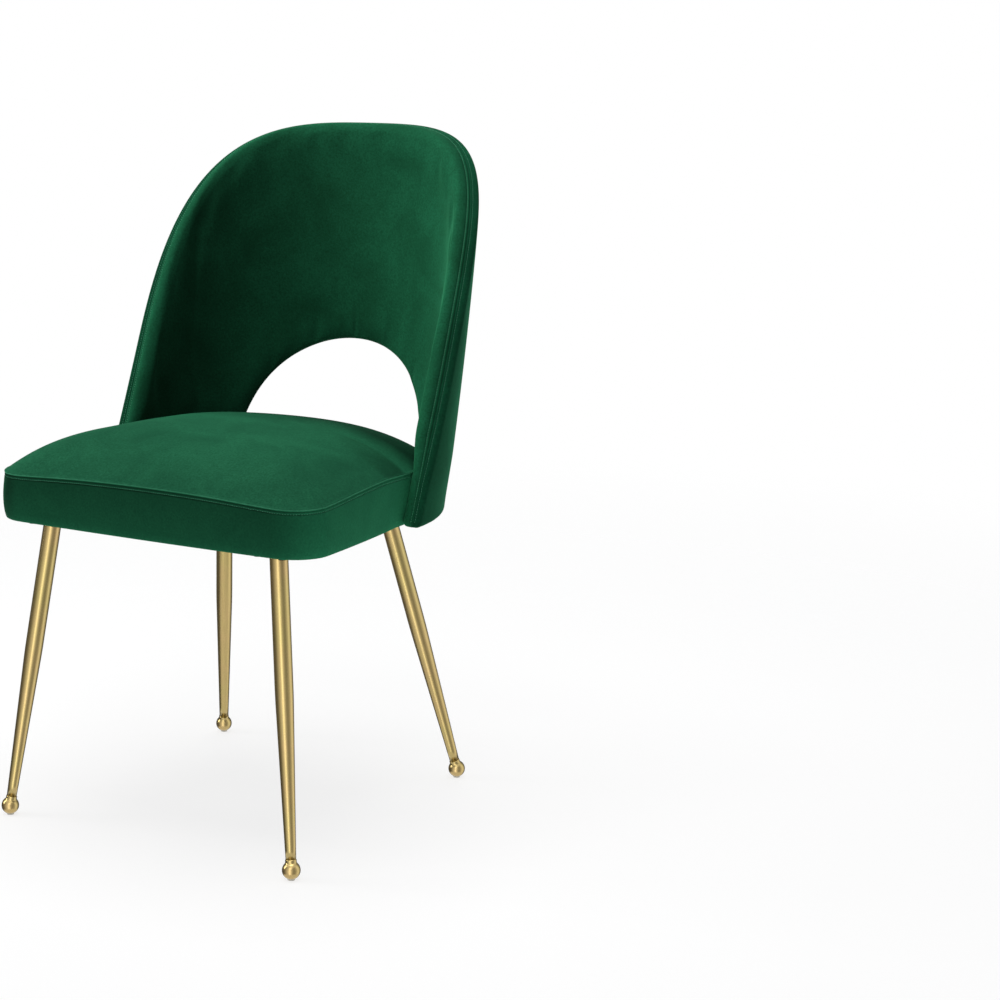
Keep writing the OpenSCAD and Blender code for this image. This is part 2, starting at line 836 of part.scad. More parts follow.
// Countersunk screws from the board up into the blocks
module block_screws() {
    color(zinc) placed() at_all_block_screws() {
        translate([0, 0, layer_gap])
            cylinder(d = screw_head_diameter, h = screw_head_height, $fn = 24);
        translate([0, 0, layer_gap + screw_head_height])
            cylinder(
                d = wood_screw_diameter,
                h = seat_board_thickness + wood_screw_grip - screw_head_height - layer_gap,
                $fn = 24
            );
    }
}

// ---- Legs ------------------------------------------------------------------------------

function leg_foot(leg) = [leg[0] * leg[1], leg[2], ball_centre_height];
function leg_top(leg) = [leg[0] * leg[3], leg[4], plate_bottom];

// Puts a piece at the middle of a leg's ball, with +Z along the leg
module along_leg(leg) {
    run = leg_top(leg) - leg_foot(leg);
    translate(leg_foot(leg))
        rotate([0, acos(run[2] / norm(run)), atan2(run[1], run[0])])
            children();
}

// Tapered steel tube, cut level under its plate
module leg_tube(leg) {
    length = norm(leg_top(leg) - leg_foot(leg));
    overrun = leg_top_diameter;
    taper_end = neck_top + leg_taper_share * (length - neck_top);
    outer_top = leg_top_diameter / 2;
    outer_end = leg_end_diameter / 2;
    color(brass) placed() difference() {
        along_leg(leg) rotate([0, 0, 90]) rotate_extrude($fn = 64) polygon([
            [outer_end - leg_wall, neck_top],
            [outer_end, neck_top],
            [outer_top, taper_end],
            [outer_top, length + overrun],
            [outer_top - leg_wall, length + overrun],
            [outer_top - leg_wall, taper_end]
        ]);
        translate([leg[0] * leg[3] - 2 * overrun, leg[4] - 2 * overrun, plate_bottom])
            cube([4 * overrun, 4 * overrun, 4 * overrun]);
    }
}

// Solid ball with a short neck, bored from below for the glide
module ball_foot(leg) {
    color(brass) placed() difference() {
        along_leg(leg) {
            sphere(d = ball_diameter, $fn = 64);
            cylinder(d1 = leg_end_diameter + 2 * leg_wall, d2 = leg_end_diameter, h = neck_top, $fn = 64);
        }
        translate([leg[0] * leg[1], leg[2], 0])
            cylinder(d = glide_diameter + layer_gap, h = glide_height + layer_gap, $fn = 32);
    }
}

// Square steel plate with rounded corners, welded on the tube and bolted to the board
module leg_plate(leg) {
    side = plate_width - 2 * plate_corner;
    color(brass) placed() difference() {
        translate([leg[0] * leg[3], leg[4], plate_bottom])
            linear_extrude(plate_thickness) {
                square([plate_width, side], center = true);
                square([side, plate_width], center = true);
                for (x = [-1, 1], y = [-1, 1])
                    translate([x * side / 2, y * side / 2])
                        circle(r = plate_corner, $fn = 32);
            }
        at_plate_bolts(leg)
            translate([0, 0, plate_bottom - cut_through])
                cylinder(d = bolt_hole, h = plate_thickness + 2 * cut_through, $fn = 32);
    }
}

module leg_bolts() {
    shank = board_top + nut_flange_thickness + bolt_tip - plate_bottom;
    color(zinc) placed() for (leg = legs)
        at_plate_bolts(leg) translate([0, 0, plate_bottom]) {
            translate([0, 0, -bolt_head_height])
                cylinder(d = bolt_head_diameter, h = bolt_head_height, $fn = 32);
            cylinder(d = bolt_diameter, h = shank, $fn = 32);
        }
}

module leg_t_nuts() {
    color(zinc) placed() for (leg = legs)
        at_plate_bolts(leg) translate([0, 0, board_top]) t_nut();
}

module floor_glides() {
    color(nylon) placed() for (leg = legs)
        translate([leg[0] * leg[1], leg[2], 0])
            cylinder(d = glide_diameter, h = glide_height, $fn = 32);
}

seat_board();
seat_foam();
seat_top_cover();
seat_border_cover();
seat_dust_cover();
seat_staples();
back_plywood();
back_inner_foam();
back_outer_foam();
back_inner_cover();
back_outer_cover();
back_bolts();
back_washers();
back_t_nuts();
back_block(-1, arm_bolt_angle_front);  // back_block_left_front
back_block(-1, arm_bolt_angle_rear);  // back_block_left_rear
back_block(1, arm_bolt_angle_front);  // back_block_right_front
back_block(1, arm_bolt_angle_rear);  // back_block_right_rear
block_screws();
leg_tube(front_left_leg);  // leg_tube_front_left
leg_tube(front_right_leg);  // leg_tube_front_right
leg_tube(rear_left_leg);  // leg_tube_rear_left
leg_tube(rear_right_leg);  // leg_tube_rear_right
ball_foot(front_left_leg);  // ball_foot_front_left
ball_foot(front_right_leg);  // ball_foot_front_right
ball_foot(rear_left_leg);  // ball_foot_rear_left
ball_foot(rear_right_leg);  // ball_foot_rear_right
leg_plate(front_left_leg);  // leg_plate_front_left
leg_plate(front_right_leg);  // leg_plate_front_right
leg_plate(rear_left_leg);  // leg_plate_rear_left
leg_plate(rear_right_leg);  // leg_plate_rear_right
leg_bolts();
leg_t_nuts();
floor_glides();
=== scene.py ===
import math

import bpy
import numpy as np
from mathutils import Matrix, Vector
from mathutils.bvhtree import BVHTree


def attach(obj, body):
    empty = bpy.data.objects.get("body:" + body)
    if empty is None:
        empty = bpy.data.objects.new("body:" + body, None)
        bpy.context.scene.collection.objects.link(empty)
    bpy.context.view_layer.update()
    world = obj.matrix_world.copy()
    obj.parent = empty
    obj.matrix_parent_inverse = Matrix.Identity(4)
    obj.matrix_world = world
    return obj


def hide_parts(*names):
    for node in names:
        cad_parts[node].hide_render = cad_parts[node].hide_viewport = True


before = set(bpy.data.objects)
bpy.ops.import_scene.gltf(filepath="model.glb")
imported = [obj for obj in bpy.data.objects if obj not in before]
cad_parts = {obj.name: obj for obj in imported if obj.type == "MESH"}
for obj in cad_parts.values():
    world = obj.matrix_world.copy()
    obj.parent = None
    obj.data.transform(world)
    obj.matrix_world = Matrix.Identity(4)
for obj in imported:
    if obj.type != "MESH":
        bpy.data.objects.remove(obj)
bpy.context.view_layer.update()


# ---- Camera ------------------------------------------------------------------------
# A long lens looks at the chair from its front right, a little above the seat.

camera_turn = math.radians(31.7794)
camera_height_angle = math.radians(11.1613)
camera_roll = math.radians(0.2977)
camera_aim = Vector((0.18796, -0.06962, 0.42750))
camera_distance = 2.70871

away = Vector((
    math.sin(camera_turn) * math.cos(camera_height_angle),
    -math.cos(camera_turn) * math.cos(camera_height_angle),
    math.sin(camera_height_angle),
))
level_right = Vector((math.cos(camera_turn), math.sin(camera_turn), 0))
level_up = away.cross(level_right)
camera_right = level_right * math.cos(camera_roll) + level_up * math.sin(camera_roll)
camera_up = level_up * math.cos(camera_roll) - level_right * math.sin(camera_roll)

camera_data = bpy.data.cameras.new("camera")
camera_data.sensor_width = 36
camera_data.lens = 80.854
camera_data.shift_x = 0.14
camera_data.shift_y = -0.008
camera = bpy.data.objects.new("camera", camera_data)
bpy.context.scene.collection.objects.link(camera)
camera.matrix_world = Matrix.Translation(camera_aim + away * camera_distance) @ Matrix((
    camera_right, camera_up, away,
)).transposed().to_4x4()
bpy.context.scene.camera = camera
bpy.context.scene.view_settings.view_transform = "Standard"


# ---- Studio ------------------------------------------------------------------------
# A matt white floor that fades into a white surround, and large soft lamps, the
# strongest of them overhead. Curtains hang round the set for the metal to reflect.

def colour(code):
    """Linear RGBA of an sRGB hex colour."""
    parts = [int(code[k:k + 2], 16) / 255 for k in (1, 3, 5)]
    return (*[c / 12.92 if c <= 0.04045 else ((c + 0.055) / 1.055) ** 2.4 for c in parts], 1)


def node(tree, kind, links=None, values=None, **settings):
    """Adds a node with its settings, its input values, and links into its inputs."""
    made = tree.nodes.new(kind)
    for name, value in settings.items():
        setattr(made, name, value)
    for name, value in (values or {}).items():
        made.inputs[name].default_value = value
    for name, source in (links or {}).items():
        tree.links.new(source, made.inputs[name])
    return made


def empty_tree(owner):
    """Node tree of a material or world, with nothing in it yet."""
    owner.use_nodes = True
    owner.node_tree.nodes.clear()
    return owner.node_tree


def lamp(name, place, aim, size, watts):
    """White rectangular lamp at a place, turned towards a point."""
    data = bpy.data.lights.new(name, "AREA")
    data.shape = "RECTANGLE"
    data.size, data.size_y = size
    data.energy = watts
    made = bpy.data.objects.new(name, data)
    bpy.context.scene.collection.objects.link(made)
    turn = (Vector(place) - Vector(aim)).to_track_quat("Z", "Y")
    made.matrix_world = Matrix.Translation(Vector(place)) @ turn.to_matrix().to_4x4()


chair_middle = (0, 0, 0.45)
lamp("key_softbox", (1.2, -2.2, 2.3), chair_middle, (1.6, 1.6), 7)
lamp("left_softbox", (-2.6, -1.3, 1.5), chair_middle, (1.0, 2.0), 29)
lamp("rear_softbox", (-0.8, 2.6, 2.0), chair_middle, (2.0, 1.4), 13)
lamp("top_softbox", (0, 0, 3.2), chair_middle, (2.4, 2.4), 66)

world = bpy.data.worlds.new("white_surround")
tree = empty_tree(world)
rays = node(tree, "ShaderNodeLightPath")
seen = node(tree, "ShaderNodeMath",
            {0: rays.outputs["Is Camera Ray"], 1: rays.outputs["Is Glossy Ray"]},
            operation="MAXIMUM")
soft_air = node(tree, "ShaderNodeBackground", values={"Color": colour("#f6f8ff"), "Strength": 0.1})
white = node(tree, "ShaderNodeBackground", values={"Color": colour("#ffffff"), "Strength": 1.0})
surround = node(tree, "ShaderNodeMixShader",
                {0: seen.outputs[0], 1: soft_air.outputs[0], 2: white.outputs[0]})
node(tree, "ShaderNodeOutputWorld", {"Surface": surround.outputs[0]})
bpy.context.scene.world = world

# The curtains' brightness goes round with the angle: dark gaps lie behind the chair, and
# bright silk hangs beside the camera. Only reflections show them.
curtain_radius = 4.0
curtain_ends = (-3.0, 3.5)
curtain_panels = 96
curtain_glow = 4.0
curtain_stops = (                  # degrees to the right of the camera, and brightness
    (-150, 0.16), (-112, 0.12), (-88, 0.20), (-72, 0.40), (-56, 0.72), (-42, 1.0), (-28, 1.3),
    (-15, 2.9), (-3, 1.5), (12, 0.68), (26, 0.48), (40, 0.42), (54, 0.6), (70, 0.95), (86, 1.45),
    (104, 1.2), (124, 0.5), (142, 0.14), (160, 0.10), (176, 0.22), (196, 0.24),
)
curtain = bpy.data.materials.new("curtains seen in the metal")
tree = empty_tree(curtain)
place = node(tree, "ShaderNodeTexCoord")
round_place = node(tree, "ShaderNodeTexGradient", {"Vector": place.outputs["Object"]},
                   gradient_type="RADIAL")
silk = node(tree, "ShaderNodeValToRGB", {"Fac": round_place.outputs["Fac"]})
camera_share = (math.degrees(camera_turn) - 90) / 360 + 0.5
stops = sorted(((camera_share + a / 360) % 1, b) for a, b in curtain_stops)
ramp = silk.color_ramp
for k, (position, bright) in enumerate(stops):
    stop = ramp.elements[k] if k < 2 else ramp.elements.new(position)
    stop.position = position
    stop.color = (*[bright / curtain_glow] * 3, 1)
glow = node(tree, "ShaderNodeEmission", {"Color": silk.outputs["Color"]}, {"Strength": curtain_glow})
node(tree, "ShaderNodeOutputMaterial", {"Surface": glow.outputs[0]})
hem_angles = np.linspace(0, 2 * math.pi, curtain_panels, endpoint=False)
hem_line = [(curtain_radius * math.cos(a), curtain_radius * math.sin(a)) for a in hem_angles]
curtain_mesh = bpy.data.meshes.new("curtains")
curtain_mesh.from_pydata(
    [(x, y, z) for z in curtain_ends for x, y in hem_line], [],
    [(n, (n + 1) % curtain_panels, curtain_panels + (n + 1) % curtain_panels, curtain_panels + n)
     for n in range(curtain_panels)])
curtain_mesh.materials.append(curtain)
curtains = bpy.data.objects.new("curtains", curtain_mesh)
bpy.context.scene.collection.objects.link(curtains)
curtains.visible_camera = False
curtains.visible_diffuse = False
curtains.visible_shadow = False
curtains.visible_transmission = False
curtains.visible_volume_scatter = False

# Most of the floor's white is its own glow, so that the chair's shadow stays pale
floor_half = 3
floor_glow_share = 0.72
floor_fade = {"From Min": 0.9, "From Max": 2.6}
floor_material = bpy.data.materials.new("matt white floor")
tree = empty_tree(floor_material)
place = node(tree, "ShaderNodeTexCoord")
reach = node(tree, "ShaderNodeVectorMath", {0: place.outputs["Object"]}, operation="LENGTH")
fade = node(tree, "ShaderNodeMapRange", {"Value": reach.outputs["Value"]}, floor_fade,
            interpolation_type="SMOOTHSTEP")
paint = node(tree, "ShaderNodeBsdfDiffuse", values={"Color": colour("#f4f4f4")})
nothing = node(tree, "ShaderNodeBsdfTransparent")
lit = node(tree, "ShaderNodeEmission", values={"Color": colour("#ffffff"), "Strength": 1.1})
glowing = node(tree, "ShaderNodeMixShader", {1: paint.outputs[0], 2: lit.outputs[0]},
               {0: floor_glow_share})
faded = node(tree, "ShaderNodeMixShader",
             {0: fade.outputs["Result"], 1: glowing.outputs[0], 2: nothing.outputs[0]})
node(tree, "ShaderNodeOutputMaterial", {"Surface": faded.outputs[0]})

floor_mesh = bpy.data.meshes.new("floor")
floor_corners = ((-1, -1), (1, -1), (1, 1), (-1, 1))
floor_mesh.from_pydata([(floor_half * x, floor_half * y, 0) for x, y in floor_corners], [], [(0, 1, 2, 3)])
floor_mesh.materials.append(floor_material)
floor = bpy.data.objects.new("floor", floor_mesh)
bpy.context.scene.collection.objects.link(floor)
floor.visible_glossy = False


# ---- Seat cushion ------------------------------------------------------------------
# A crowned foam block on the seat board, covered with a velvet top panel that is sewn
# to a 60 mm border. The border turns under the board in a narrow hem.

def new_material(name):
    """New material, with its node tree and its shader."""
    material = bpy.data.materials.new(name)
    material.use_nodes = True
    return material, material.node_tree, material.node_tree.nodes["Principled BSDF"]


def two_tones(tree, share, *stops):
    """Blend of two colours by a share; each stop is a share and a colour."""
    blend = node(tree, "ShaderNodeValToRGB", {"Fac": share})
    for element, (position, code) in zip(blend.color_ramp.elements, stops):
        element.position = position
        element.color = colour(code)
    return blend.outputs["Color"]


def velvet(name, dark, light, sheen, level, painted_light_direction, brightest=1.4):
    """Emerald polyester velvet, woven with a short dense pile. It is pale along its edges
    and mottled where hands have turned the pile. Its dye also carries painted light and
    shade by the way each side faces: level is the painted shade of a side square to the
    given direction, sides facing along it are painted paler and sides facing away darker,
    up to brightest."""
    material, tree, shader = new_material(name)
    place = node(tree, "ShaderNodeTexCoord").outputs["Object"]
    # Patches of turned pile, 60 to 90 mm across
    patches = node(tree, "ShaderNodeTexNoise", {"Vector": place},
                   {"Scale": 13, "Detail": 3, "Roughness": 0.55, "Distortion": 0.6})
    # Pile tufts, drawn at 2.5 mm so that they show
    pile = node(tree, "ShaderNodeTexNoise", {"Vector": place},
                {"Scale": 400, "Detail": 2, "Roughness": 0.6})
    mottle = node(tree, "ShaderNodeMath", {0: patches.outputs["Fac"], 1: pile.outputs["Fac"]},
                  {2: 0.22}, operation="MULTIPLY_ADD")
    dyed = two_tones(tree, mottle.outputs[0], (0.34, dark), (0.60, light))
    # Painted light and shade: paler dye on sides facing along the given direction, darker away from it
    facing = node(tree, "ShaderNodeNewGeometry").outputs["Normal"]
    along = node(tree, "ShaderNodeVectorMath", {0: facing}, {1: painted_light_direction}, operation="DOT_PRODUCT")
    shade = node(tree, "ShaderNodeMath", {0: along.outputs["Value"]}, {1: level}, operation="ADD")
    kept = node(tree, "ShaderNodeClamp", {"Value": shade.outputs[0]}, {"Min": 0.22, "Max": brightest})
    painted_shade_dye = node(tree, "ShaderNodeVectorMath", {0: dyed, 1: kept.outputs[0]}, operation="MULTIPLY")
    tree.links.new(painted_shade_dye.outputs[0], shader.inputs["Base Color"])
    nap = node(tree, "ShaderNodeBump", {"Height": pile.outputs["Fac"]},
               {"Strength": 0.35, "Distance": 0.0006})
    drift = node(tree, "ShaderNodeBump",
                 {"Height": patches.outputs["Fac"], "Normal": nap.outputs[0]},
                 {"Strength": 0.25, "Distance": 0.004})
    tree.links.new(drift.outputs[0], shader.inputs["Normal"])
    shader.inputs["Roughness"].default_value = 0.85
    shader.inputs["IOR"].default_value = 1.5
    shader.inputs["Specular IOR Level"].default_value = 0.02
    shader.inputs["Sheen Weight"].default_value = sheen
    shader.inputs["Sheen Roughness"].default_value = 0.32
    shader.inputs["Sheen Tint"].default_value = colour("#6de7ab")
    return material


# Painted shade in the numbers below: the seat top is painted darker on its rear slopes, the border paler on
# its right side and underside and darker on its left side, and the welt is dyed paler as a painted
# highlight along the seam
top_velvet = velvet("emerald velvet, seat top", "#1d593e", "#29714f", 0.12, 1.06, (0.05, -5.4, 0), 0.84)
border_velvet = velvet("emerald velvet, seat border", "#1b5f41", "#236e4b", 0.2, 0.56, (0.72, 0, -0.7))
welt_highlight_velvet = velvet("emerald velvet, seat welt with painted highlight", "#34805c", "#459670", 0.3, 1.0, (0, 0, 0))

mm = 0.001


def solid_reach(name):
    """Lowest and highest corner of a solid's box, in millimetres."""
    corners = np.array([v.co for v in bpy.data.objects[name].data.vertices]) / mm
    return corners.min(0).round(2), corners.max(0).round(2)


# Sizes in millimetres, about the seat's cross line
middle = 42.8735                   # from the seat's cross line to the footprint's middle
border_low, border_high = solid_reach("seat_border_cover")
seat_front_width = border_high[0] - border_low[0]
seat_underside, seat_seam = border_low[2], border_high[2]
border_height = seat_seam - seat_underside
seat_front_reach = 218
seat_front_bow = 3
seat_side_bow = 2
seat_corner_radius = 46
seat_crown = 52
seat_crown_fullness = 3.8
crown_line = -48                   # where the crown is highest
seat_rear_fall = 9.5               # how far it falls on the way to the rear
rear_fall_reach = 190
seam_pull = 3.6                    # how far the sewing draws the seam down and lets it up
seam_pull_reach = 105
beside_arm_hang = 2.6              # extra hang of the filled edge beside the arms
seat_gap = 0.6                     # between the border and the back's inner cover
arm_wrap = 91                      # degrees that each arm of the back reaches round
back_low, back_high = solid_reach("back_outer_cover")
arm_bottom, back_top = back_low[2], back_high[2]
back_thickness = 27
# Seen from above, the back is a flattened arc with a half width, a bow and a rearmost
# reach. Each changes on the way from the arms' lower ends to the top.
back_half_width = 240.5
back_widening = 12.5
back_bow = 239
back_flattening = 39
back_rear = 263
back_lean = 49
back_belly = 32


def share_between(value, start, end):
    """0 up to start, 1 from end on, and steady growth between them."""
    return np.clip((value - start) / (end - start), 0, 1)


def rise(z):
    """Share of the back's height that lies below z."""
    return (z - arm_bottom) / (back_top - arm_bottom)


def back_point(angle, z, depth):
    """Point of the back at an angle from the centre line, a height, and a depth in mm."""
    t = np.radians(angle)
    half = back_half_width + back_widening * rise(z)
    bow = back_bow - back_flattening * rise(z)
    rear = back_rear + back_lean * rise(z) + back_belly * rise(z) * (1 - rise(z))
    x = (half - depth) * np.sin(t)
    y = rear - depth - (bow - depth) * (1 - np.cos(t))
    return np.stack([x, y, z + 0 * x], -1)


outline_steps = 240                # points on each stretch of the outline


def seat_outline(z, inset):
    """Dense closed outline of the seat at a height, from the front centre to the right."""
    corner_x = seat_front_width / 2 - seat_corner_radius
    corner_y = seat_corner_radius + seat_front_bow - seat_front_reach
    radius = seat_corner_radius - inset
    u = np.linspace(0, 1, outline_steps, endpoint=False)
    front = np.stack([corner_x * u, inset - seat_front_reach + seat_front_bow * u * u], -1)
    a = u * math.pi / 2
    corner = np.stack([corner_x + radius * np.sin(a), corner_y - radius * np.cos(a)], -1)
    start = np.array([corner_x + radius, corner_y])
    end = back_point(np.array(arm_wrap), z, back_thickness + seat_gap + inset)[:2]
    side = start + (end - start) * u[:, None]
    side[:, 0] += seat_side_bow * 4 * u * (1 - u)
    bend = arm_wrap * (1 - np.append(u, 1))
    rear = back_point(bend, z, back_thickness + seat_gap + inset)[:, :2]
    half = np.concatenate([front, corner, side, rear])
    return np.concatenate([half, half[-2:0:-1] * [-1, 1]])


def at(path, places):
    """Points of a closed path at fractional indices."""
    low = np.floor(places).astype(int)
    part = (places - low)[:, None]
    return path[low % len(path)] * (1 - part) + path[(low + 1) % len(path)] * part


def graded(edge, step, half):
    """Distances from an edge to the middle: close rows first, then even steps."""
    left = half - edge[-1]
    n = max(1, round(left / step))
    return np.concatenate([edge, edge[-1] + left * np.arange(1, n + 1) / n])


# The top panel is a square grid pulled out to the seat's outline. Its four sides meet
# at the corners, and its outer rows lie close together along the seam.
half_seat = 230
edge_rows = np.array([0, 1.2, 2.6, 4.4, 7.0, 10.5])
row_scale = 1 - graded(edge_rows, 5.6, half_seat) / half_seat
lines = np.concatenate([-row_scale, row_scale[-2::-1]])
cells = len(lines) - 1
grid_i, grid_j = [g.ravel() for g in np.meshgrid(np.arange(cells + 1), np.arange(cells + 1), indexing="ij")]
seat_centre = np.array([0, (back_rear - back_thickness - seat_front_reach) / 2])

# The outline's stretches are its front, corner, side and rear. The grid's own corners lie
# nearly halfway round the front corner and halfway along the rear.
seam_line = seat_outline(seat_seam, 0)
seam_steps = np.diff(np.concatenate([seam_line, seam_line[:1]]), axis=0)
run = np.concatenate([[0], np.cumsum(np.linalg.norm(seam_steps, axis=1))])
total = run[-1]
front_corner, rear_corner = [run[int(outline_steps * share)] for share in (1.45, 3.5)]
corner_runs = [front_corner, rear_corner, total - rear_corner, total - front_corner, front_corner + total]


def rim_place(quarter, w):
    """Place on the outline for one side of the grid; w runs from -1 to 1 along it."""
    start, end = corner_runs[quarter], corner_runs[quarter + 1]
    return np.interp((start + (end - start) * (w + 1) / 2) % total, run, np.arange(len(run)))


def square_grid(outline):
    """Points of the grid within an outline, and how far out towards it each one lies."""
    u, v = lines[grid_i], lines[grid_j]
    reach = np.maximum(np.abs(u), np.abs(v))
    safe = np.where(reach > 1e-9, reach, 1)
    right = (u >= np.abs(v)) & (u > 0)
    rear = (v > np.abs(u)) | ((v == -u) & (v > 0))
    left = (-u >= np.abs(v)) & ~rear & ~right
    front = ~(right | rear | left)
    places = np.zeros(len(u))
    for quarter, (side, w) in enumerate(((right, v), (rear, -u), (left, -v), (front, u))):
        places[side] = rim_place(quarter, np.clip((w / safe)[side], -1, 1))
    return seat_centre + (at(outline, places) - seat_centre) * reach[:, None], reach


def seam_rise(flat):
    """The seam dips at the front corners, lies high between them and is level at the rear."""
    corner_x = seat_front_width / 2 - 0.3 * seat_corner_radius
    corner_y = 0.3 * seat_corner_radius - seat_front_reach
    away = np.hypot(np.abs(flat[:, 0]) - corner_x, flat[:, 1] - corner_y)
    level = seam_pull * (1 - 2 * np.exp(-(away / seam_pull_reach) ** 2))
    return level * (1 - share_between(flat[:, 1], -20, 40))


def rear_hang(flat):
    return beside_arm_hang * share_between(flat[:, 1], -215, 0)


flat, reach = square_grid(seam_line)
fall = seat_rear_fall * (np.clip(flat[:, 1] - crown_line, 0, None) / rear_fall_reach) ** 2
lift = (seat_crown - fall) * (1 - reach ** seat_crown_fullness)
lift = lift + seam_rise(flat) * reach ** 6
top_count = len(flat)

# Rings of the border: rows below the seam, the rolled lower edge, and the hem under the
# board, each with its rough distance from the seam
border_drop = np.array([1.0, 2.2, 3.4, 4.3, 5.0, 5.7, 6.8, 9, 13, 18, 24, 30, 36, 42, 47, 51, 54.5])
stitch_ring = 4
bottom_roll = 3.0
bottom_hang = 1.8                  # how far the filled edge hangs below the board's underside
border_fullness = 2.8
belly_reach = 62
hem_rows = ((5.5, -1.2), (8.5, 0), (12, 0), (12.6, 0.9))    # inset, and height over the underside
rim_places = np.concatenate([rim_place(quarter, lines[:-1]) for quarter in range(4)])


def ring_of(outline, z):
    ring = at(outline, rim_places)
    return np.column_stack([ring, np.full(len(ring), z)])


rings = []
for drop in border_drop:
    z = seat_seam - drop
    belly = border_fullness * math.sin(math.pi * (drop / belly_reach) ** 1.2)
    ring = ring_of(seat_outline(z, -belly), z)
    ring[:, 2] += seam_rise(ring) * (1 - drop / border_height)
    ring[:, 2] -= rear_hang(ring) * (drop / border_height) ** 2
    rings.append((ring, drop))
for a in (22.5, 45, 67.5, 90):
    turn = math.radians(a)
    z = seat_underside - bottom_hang + bottom_roll * (1 - math.sin(turn))
    ring = ring_of(seat_outline(z, bottom_roll * (1 - math.cos(turn))), z)
    ring[:, 2] -= rear_hang(ring)
    rings.append((ring, 60.0))
for inset, height in hem_rows:
    z = seat_underside + height
    rings.append((ring_of(seat_outline(z, inset), z), 80.0))
base_inset, base_height = hem_rows[-1]
base_z = seat_underside + base_height
base_flat, base_reach = square_grid(seat_outline(base_z, base_inset))
inner = base_reach < 1 - 1e-9
points = np.concatenate(
    [np.column_stack([flat, seat_seam + lift])] + [ring for ring, _ in rings]
    + [np.column_stack([base_flat, np.full(len(base_flat), base_z)])[inner]])
seam_distance = np.concatenate(
    [-(1 - reach) * half_seat] + [np.full(len(ring), drop) for ring, drop in rings]
    + [np.full(inner.sum(), 90.0)])

# The grid's outer cells in running order round the seat, and all faces from the top down
rim_cells = (
    [(cells, k) for k in range(cells)] + [(cells - k, cells) for k in range(cells)]
    + [(0, cells - k) for k in range(cells)] + [(k, 0) for k in range(cells)]
)
ring_size = len(rim_cells)
top_index = np.arange(top_count).reshape(cells + 1, cells + 1)
faces = [
    (top_index[i, j], top_index[i + 1, j], top_index[i + 1, j + 1], top_index[i, j + 1])
    for i in range(cells) for j in range(cells)
]
upper = [top_index[i, j] for i, j in rim_cells]
for k in range(len(rings)):
    first = top_count + k * ring_size
    lower = list(range(first, first + ring_size))
    faces += [
        (upper[n], lower[n], lower[(n + 1) % ring_size], upper[(n + 1) % ring_size])
        for n in range(ring_size)
    ]
    upper = lower
base_index = np.full((cells + 1) ** 2, -1)
base_index[inner] = top_count + len(rings) * ring_size + np.arange(inner.sum())
base_index = base_index.reshape(cells + 1, cells + 1)
for n, (i, j) in enumerate(rim_cells):
    base_index[i, j] = upper[n]
faces += [
    (base_index[i, j], base_index[i, j + 1], base_index[i + 1, j + 1], base_index[i + 1, j])
    for i in range(cells) for j in range(cells)
]


def to_scene(points):
    """From millimetres about the seat's cross line to metres about the footprint."""
    return (np.asarray(points) - [0, middle, 0]) * mm


def new_piece(name, points, faces, *materials):
    mesh = bpy.data.meshes.new(name)
    mesh.from_pydata([tuple(p) for p in points], [], [tuple(int(i) for i in f) for f in faces])
    mesh.update()
    for material in materials:
        mesh.materials.append(material)
    mesh.shade_smooth()
    made = bpy.data.objects.new(name, mesh)
    bpy.context.scene.collection.objects.link(made)
    return made


def coordinates(piece):
    flat = np.empty(len(piece.data.vertices) * 3)
    piece.data.vertices.foreach_get("co", flat)
    return flat.reshape(-1, 3)


def move_points(piece, places):
    piece.data.vertices.foreach_set("co", places.ravel())
    piece.data.update()


def mark(piece, name, kind, key, values):
    """Keeps a value at each point of a piece."""
    marks = piece.data.attributes.new(name, kind, "POINT")
    marks.data.foreach_set(key, values.astype(np.float32).ravel())


def settle(piece, hold, limit):
    """Blows the cover up a little with Blender's cloth, held where it is sewn or glued.

    hold is 0 where the cover is free and 1 where it is fixed, and limit is the furthest
    that a point may move, in metres."""
    rest = coordinates(piece)
    hold = np.round(hold, 2)
    group = piece.vertex_groups.new(name="sewn")
    for share in np.unique(hold[hold > 0]):
        chosen = np.nonzero(np.abs(hold - share) < 1e-6)[0]
        group.add([int(i) for i in chosen], float(share), "REPLACE")
    cloth = piece.modifiers.new("cloth", "CLOTH")
    cloth.settings.quality = 5
    cloth.settings.mass = 0.3
    cloth.settings.tension_stiffness = 25
    cloth.settings.compression_stiffness = 25
    cloth.settings.shear_stiffness = 12
    cloth.settings.bending_stiffness = 2
    cloth.settings.use_pressure = True
    cloth.settings.uniform_pressure_force = 4.0
    cloth.settings.effector_weights.gravity = 0
    cloth.settings.vertex_group_mass = "sewn"
    cloth.settings.pin_stiffness = 2
    cloth.collision_settings.use_collision = False
    cloth.collision_settings.use_self_collision = False
    scene = bpy.context.scene
    last_step = 20
    scene.frame_start, scene.frame_end = 1, last_step
    cloth.point_cache.frame_start, cloth.point_cache.frame_end = 1, last_step
    for step in range(1, last_step + 1):
        scene.frame_set(step)
    move = coordinates(piece.evaluated_get(bpy.context.evaluated_depsgraph_get())) - rest
    size = np.linalg.norm(move, axis=1)
    kept = limit * np.tanh(size / limit)
    piece.modifiers.remove(cloth)
    piece.vertex_groups.clear()
    scene.frame_set(1)
    move_points(piece, rest + move * (kept / np.maximum(size, 1e-12))[:, None])


def finish_smooth(piece):
    """One subdivision, made into a plain mesh."""
    smoother = piece.modifiers.new("smooth", "SUBSURF")
    smoother.levels = smoother.render_levels = 1
    ready = piece.evaluated_get(bpy.context.evaluated_depsgraph_get())
    mesh = bpy.data.meshes.new_from_object(ready)
    piece.modifiers.remove(smoother)
    old = piece.data
    piece.data = mesh
    bpy.data.meshes.remove(old)
    mesh.name = piece.name
    mesh.shade_smooth()


